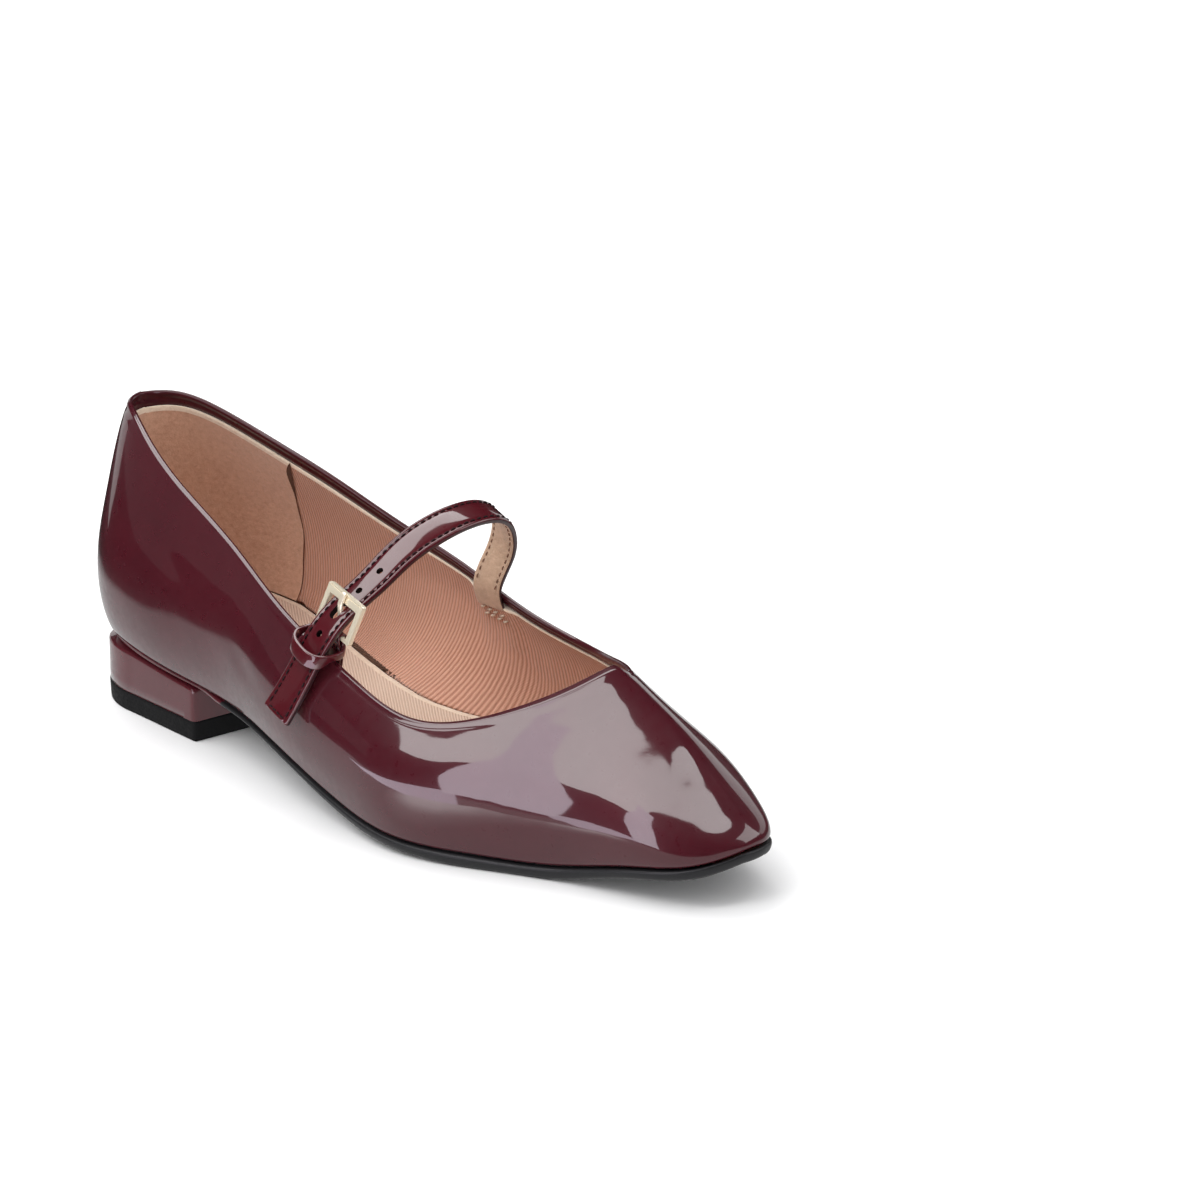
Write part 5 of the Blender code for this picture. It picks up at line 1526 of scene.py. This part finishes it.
shell_ob = make_shell([PATENT, BACKING, PATENT_ROLL_SHADED])
lining = make_lining([LINING, LINING_EDGE])
counter = make_counter([COUNTER_SUEDE, COUNTER_EDGE, BROWN_THREAD_AND_GAP_SHADE])
sock = make_insole_sock([SOCK, SOCK_EDGE, EDGE_PAINT])
sole = make_outsole([SOLE, PATENT_HEEL])
plan = heel_plan(0.0, 0.95)
heel = block("heel_shell", plan, lambda x, y: seat_underside(x, y), LIFT_THICK + 0.02,
             [(0.0, 0.30), (0.006, 0.08), (0.014, -0.05), (0.25, 0.05), (0.5, 0.2), (0.75, 0.35), (0.94, 0.45), (0.985, 0.55), (1.0, 0.9)], [PATENT_HEEL], sharp=60)
lift = block("top_lift_shell", heel_plan(0.2, 0.7), lambda x, y: LIFT_THICK - 0.02, 0.0,
             [(0.0, 0.40), (0.03, 0.16), (0.08, 0.04), (0.25, 0.0), (0.4, 0.0), (0.9, 0.0), (0.97, 0.06), (1.0, 0.25)], [LIFT], sharp=60)
strap = make_strap_skin([PATENT_STRAP, EDGE_PAINT, STRAP_BACK, HOLE_SHADE])
stitch_top, stitch_low = make_stitches("strap_stitches", THREAD_DARK, "strap_stitches_back", BROWN_THREAD_AND_GAP_SHADE)
tack_pale, tack_dark = make_bartacks(THREAD_PALE, THREAD_DARK)
tab = make_tab_skin([TAB])
keeper = make_keeper_skin([PATENT_STRAP])
buckle = make_buckle_frame(GOLD)
prong = make_prong_skin(GOLD_BAR)

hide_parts("upper")
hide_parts("upper")
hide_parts("insole")
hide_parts("outsole")
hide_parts("heel_block")
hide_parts("top_lift")
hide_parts("strap")
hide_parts("buckle_tab")
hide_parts("strap_keeper")
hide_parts("buckle_frame")
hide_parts("buckle_prong")
for piece, slot in ((shell_ob, "upper"), (lining, "upper"), (counter, "upper"), (sock, "insole"), (sole, "outsole"),
                    (heel, "heel"), (lift, "top_lift"), (strap, "strap"), (stitch_top, "strap"), (stitch_low, "strap"),
                    (tack_pale, "strap"), (tack_dark, "tab"), (tab, "tab"), (keeper, "keeper"), (buckle, "buckle"), (prong, "prong")):
    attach(piece, "root")

# ------------------------------------------------------------------ camera
AZ, EL, ROLL_CAM = 46.22486672701854, 19.460307579503745, -1.4948088523475613
DIST, FOCAL, CX, CY = 863.4879038659317, 3077.226376758995, 427.68182965339037, 671.5511810191464
az, el, ro = (math.radians(v) for v in (AZ, EL, ROLL_CAM))
d = np.array((math.cos(el) * math.sin(az), -math.cos(el) * math.cos(az), math.sin(el)))
right = np.array((math.cos(az), math.sin(az), 0.0))
upv = np.cross(d, right)
r = math.cos(ro) * right + math.sin(ro) * upv
u = -math.sin(ro) * right + math.cos(ro) * upv
cam_at = np.array((130.0, 0.0, 30.0)) + d * DIST - r * ((CX - 600) / FOCAL * DIST) + u * ((CY - 600) / FOCAL * DIST)
camera = bpy.data.objects.new("camera", bpy.data.cameras.new("camera"))
bpy.context.scene.collection.objects.link(camera)
R = Matrix([[r[i], u[i], d[i]] for i in range(3)]).to_4x4()
camera.matrix_world = Matrix.Translation(Vector((cam_at + (SHIFT_X, SHIFT_Y, 0)) * MM)) @ R
camera.data.sensor_width = 36.0
camera.data.sensor_fit = "HORIZONTAL"
camera.data.lens = FOCAL * 36.0 / 1200.0
camera.data.clip_start = 0.05
camera.data.clip_end = 60.0
bpy.context.scene.camera = camera

# ------------------------------------------------------------------ floor and light
FLOOR_OBJECT = bpy.data.meshes.new("floor")
bm = bmesh.new()
N = 24
for i in range(N + 1):
    for j in range(N + 1):
        bm.verts.new(((i / N - 0.5) * 9.0, (j / N - 0.5) * 9.0, 0.0))
bm.verts.ensure_lookup_table()
for i in range(N):
    for j in range(N):
        a = i * (N + 1) + j
        bm.faces.new([bm.verts[k] for k in (a, a + N + 1, a + N + 2, a + 1)])
bm.to_mesh(FLOOR_OBJECT)
bm.free()
floor = bpy.data.objects.new("floor", FLOOR_OBJECT)
bpy.context.scene.collection.objects.link(floor)
FLOOR_OBJECT.materials.append(floor_material())


def toward(az, el):
    a, e = math.radians(az), math.radians(el)
    return Vector((math.cos(e) * math.sin(a), -math.cos(e) * math.cos(a), math.sin(e)))


def glow(name, level, soft=None, tint=(1.0, 1.0, 1.0)):
    """Even light of a softbox's cloth, also used for the painted floor reflections; soft = (centre, inner, outer)
    fades it with distance, painting the floor cards' fall-off and their shadow near the shoe.
    """
    m = bpy.data.materials.new(name)
    m.use_nodes = True
    t = m.node_tree
    t.nodes.remove(t.nodes["Principled BSDF"])
    em = t.nodes.new("ShaderNodeEmission")
    em.inputs["Strength"].default_value = level
    em.inputs["Color"].default_value = (*tint, 1.0)
    out = t.nodes["Material Output"]
    t.links.new(em.outputs[0], out.inputs["Surface"])
    if soft:
        tc = t.nodes.new("ShaderNodeTexCoord")
        mp = t.nodes.new("ShaderNodeMapping")
        mp.vector_type = "TEXTURE"
        mp.inputs["Location"].default_value = soft[0]
        mp.inputs["Rotation"].default_value = (0, 0, math.radians(soft[1]))
        mp.inputs["Scale"].default_value = soft[2]
        gr = t.nodes.new("ShaderNodeTexGradient")
        gr.gradient_type = "SPHERICAL"
        ra = t.nodes.new("ShaderNodeValToRGB")
        e = ra.color_ramp.elements
        while len(e) < len(soft[3]):
            e.new(0.5)
        for el_, (pos, v) in zip(e, soft[3]):
            el_.position = pos
            el_.color = (v, v, v, 1)
        t.links.new(tc.outputs["Object"], mp.inputs["Vector"])
        t.links.new(mp.outputs["Vector"], gr.inputs["Vector"])
        t.links.new(gr.outputs["Fac"], ra.inputs["Fac"])
        t.links.new(ra.outputs["Color"], em.inputs["Color"])
    return m


def card(name, points, mat, diffuse=False):
    """A glowing card that shows only as a reflection; it serves for the studio softboxes and for the painted floor and
    dark reflections.
    """
    me = bpy.data.meshes.new(name)
    n = len(points) // 2
    pts = [tuple(p) for p in points]
    me.from_pydata(pts, [], [(i, i + 1, 2 * n - 2 - i, 2 * n - 1 - i) for i in range(n - 1)] if len(points) > 4 else [(0, 1, 2, 3)])
    me.materials.append(mat)
    ob = bpy.data.objects.new(name, me)
    bpy.context.scene.collection.objects.link(ob)
    ob.visible_camera = False
    ob.visible_diffuse = diffuse
    ob.visible_shadow = False
    ob.visible_transmission = False
    return ob


def panel(name, az0, az1, el0, el1, dist, level, diffuse=False, tint=(1.0, 1.0, 1.0)):
    """Upright or leaning card that fills a window of directions seen from the shoe."""
    pts = [Vector((0, 0, 0.03)) + toward(a, e) * dist for a, e in ((az0, el0), (az1, el0), (az1, el1), (az0, el1))]
    return card(name, pts, glow(name + "_cloth", level, None, tint), diffuse)


# large softbox above and in front, its outline as seen in the leather
H = 1.3
outer = [(-0.66, -0.98), (-0.46, -1.12), (-0.25, -1.15), (0.03, -1.02), (0.085, -0.6), (0.21, -0.35), (0.31, -0.15), (0.37, -0.04), (0.44, 0.12), (0.47, 0.22), (0.45, 0.34), (0.41, 0.41)]
inner = [(-0.60, -0.60), (-0.38, -0.58), (-0.25, -0.52), (-0.1, -0.42), (0.0, -0.35), (0.1, -0.27), (0.2, -0.19), (0.25, -0.15), (0.29, 0.0), (0.31, 0.2), (0.33, 0.34), (0.35, 0.41)]
card("softbox_high", [(a * H, b * H, H) for a, b in outer] + [(a * H, b * H, H) for a, b in inner[::-1]], glow("softbox_high_cloth", 5.1), True)
left = [(-0.85, -0.56), (-0.30, -0.44), (-0.27, 0.10), (-0.26, 0.62), (-0.85, 0.62)]
card("softbox_left", [(a * H, b * H, H) for a, b in ((-0.85, -0.50), (-0.85, 0.62), (-0.26, 0.62), (-0.29, -0.40))], glow("softbox_left_cloth", 4.4), True)
lit = [(0.05, -0.01), (0.028, 0.12), (0.028, 0.24), (0.046, 0.34), (0.045, 0.46)]
far = [(0.125, -0.01), (0.125, 0.12), (0.125, 0.24), (0.13, 0.34), (0.14, 0.46)]
card("softbox_strip", [(a, -0.30, c) for a, c in lit] + [(a - 0.008, -0.30, c) for a, c in far[::-1]], glow("softbox_strip_cloth", 4.7, None, (0.98, 0.92, 1.03)))
panel("softbox_toe", 112.0, 149.0, 15.0, 48.0, 1.6, 2.9)
panel("softbox_rim", -128.0, -80.0, -3.0, 12.0, 1.6, 0.7)
panel("fill_low", -80.0, -40.0, 8.0, 26.0, 1.8, 0.12)
panel("softbox_far", 150.0, 210.0, -5.0, 20.0, 1.6, 1.0)
# Glowing cards at floor level, seen only in reflections, stand in for the floor, which is hidden from glossy rays: a
# painted reflection of the floor, brightest near the shoe and fading with distance.
FLOOR_REFLECTION_CARD = glow("floor_painted_reflection", 0.68, ((-0.01, 0.0, 0.0), 0.0, (0.42, 0.34, 1.0), ((0.0, 0.02), (0.30, 0.08), (0.46, 1.0), (1.0, 1.0))))
card("floor_reflected", [(-1.0, -1.0, 0.0004), (1.0, -1.0, 0.0004), (1.0, 1.0, 0.0004), (-1.0, 1.0, 0.0004)], FLOOR_REFLECTION_CARD)
# A brighter wedge in front of the shoe: painted reflection of a more strongly lit patch of floor.
wedge = [(-0.075, -0.115), (0.06, -0.115), (0.09, -0.9), (-0.22, -0.9)]
card("floor_lit", [(a, b, 0.0008) for a, b in wedge], glow("floor_lit_painted_reflection", 3.9, None, (0.97, 0.9, 1.04)))
# Dim burgundy card behind the shoe, seen only in reflections: a painted dark reflection on the collar's roll.
card("dark_reflection_behind", [(-0.16, 0.16, 0.0), (0.22, 0.16, 0.0), (0.22, 0.16, 0.047), (-0.16, 0.16, 0.047)], glow("dark_reflection_painted", 0.05, None, (1.0, 0.35, 0.42)))
# Beside the shoe the painted floor reflection dims toward the sole: a painted shadow of the shoe.
near = [(0.0, -0.052), (0.1, -0.052), (0.1, -0.115), (0.0, -0.115)]
card("floor_near", [(a, b, 0.0008) for a, b in near],
     glow("floor_near_painted_shadow", 3.7, ((0.042, -0.12, 0.0), 0.0, (0.046, 0.068, 1.0), ((0.0, 0.18), (0.2, 0.30), (0.5, 0.80), (1.0, 1.0)))))
floor.visible_glossy = False

world = bpy.data.worlds.new("studio")
world.use_nodes = True
bg = world.node_tree.nodes["Background"]
bg.inputs["Color"].default_value = (*WORLD_TINT, 1.0)
bg.inputs["Strength"].default_value = WORLD_LEVEL
world.cycles_visibility.glossy = False
bpy.context.scene.world = world
bpy.context.scene.view_settings.view_transform = "Standard"
bpy.context.scene.view_settings.look = "None"
bpy.context.scene.view_settings.exposure = 0.0
bpy.context.scene.view_settings.gamma = 1.0

bpy.context.view_layer.update()
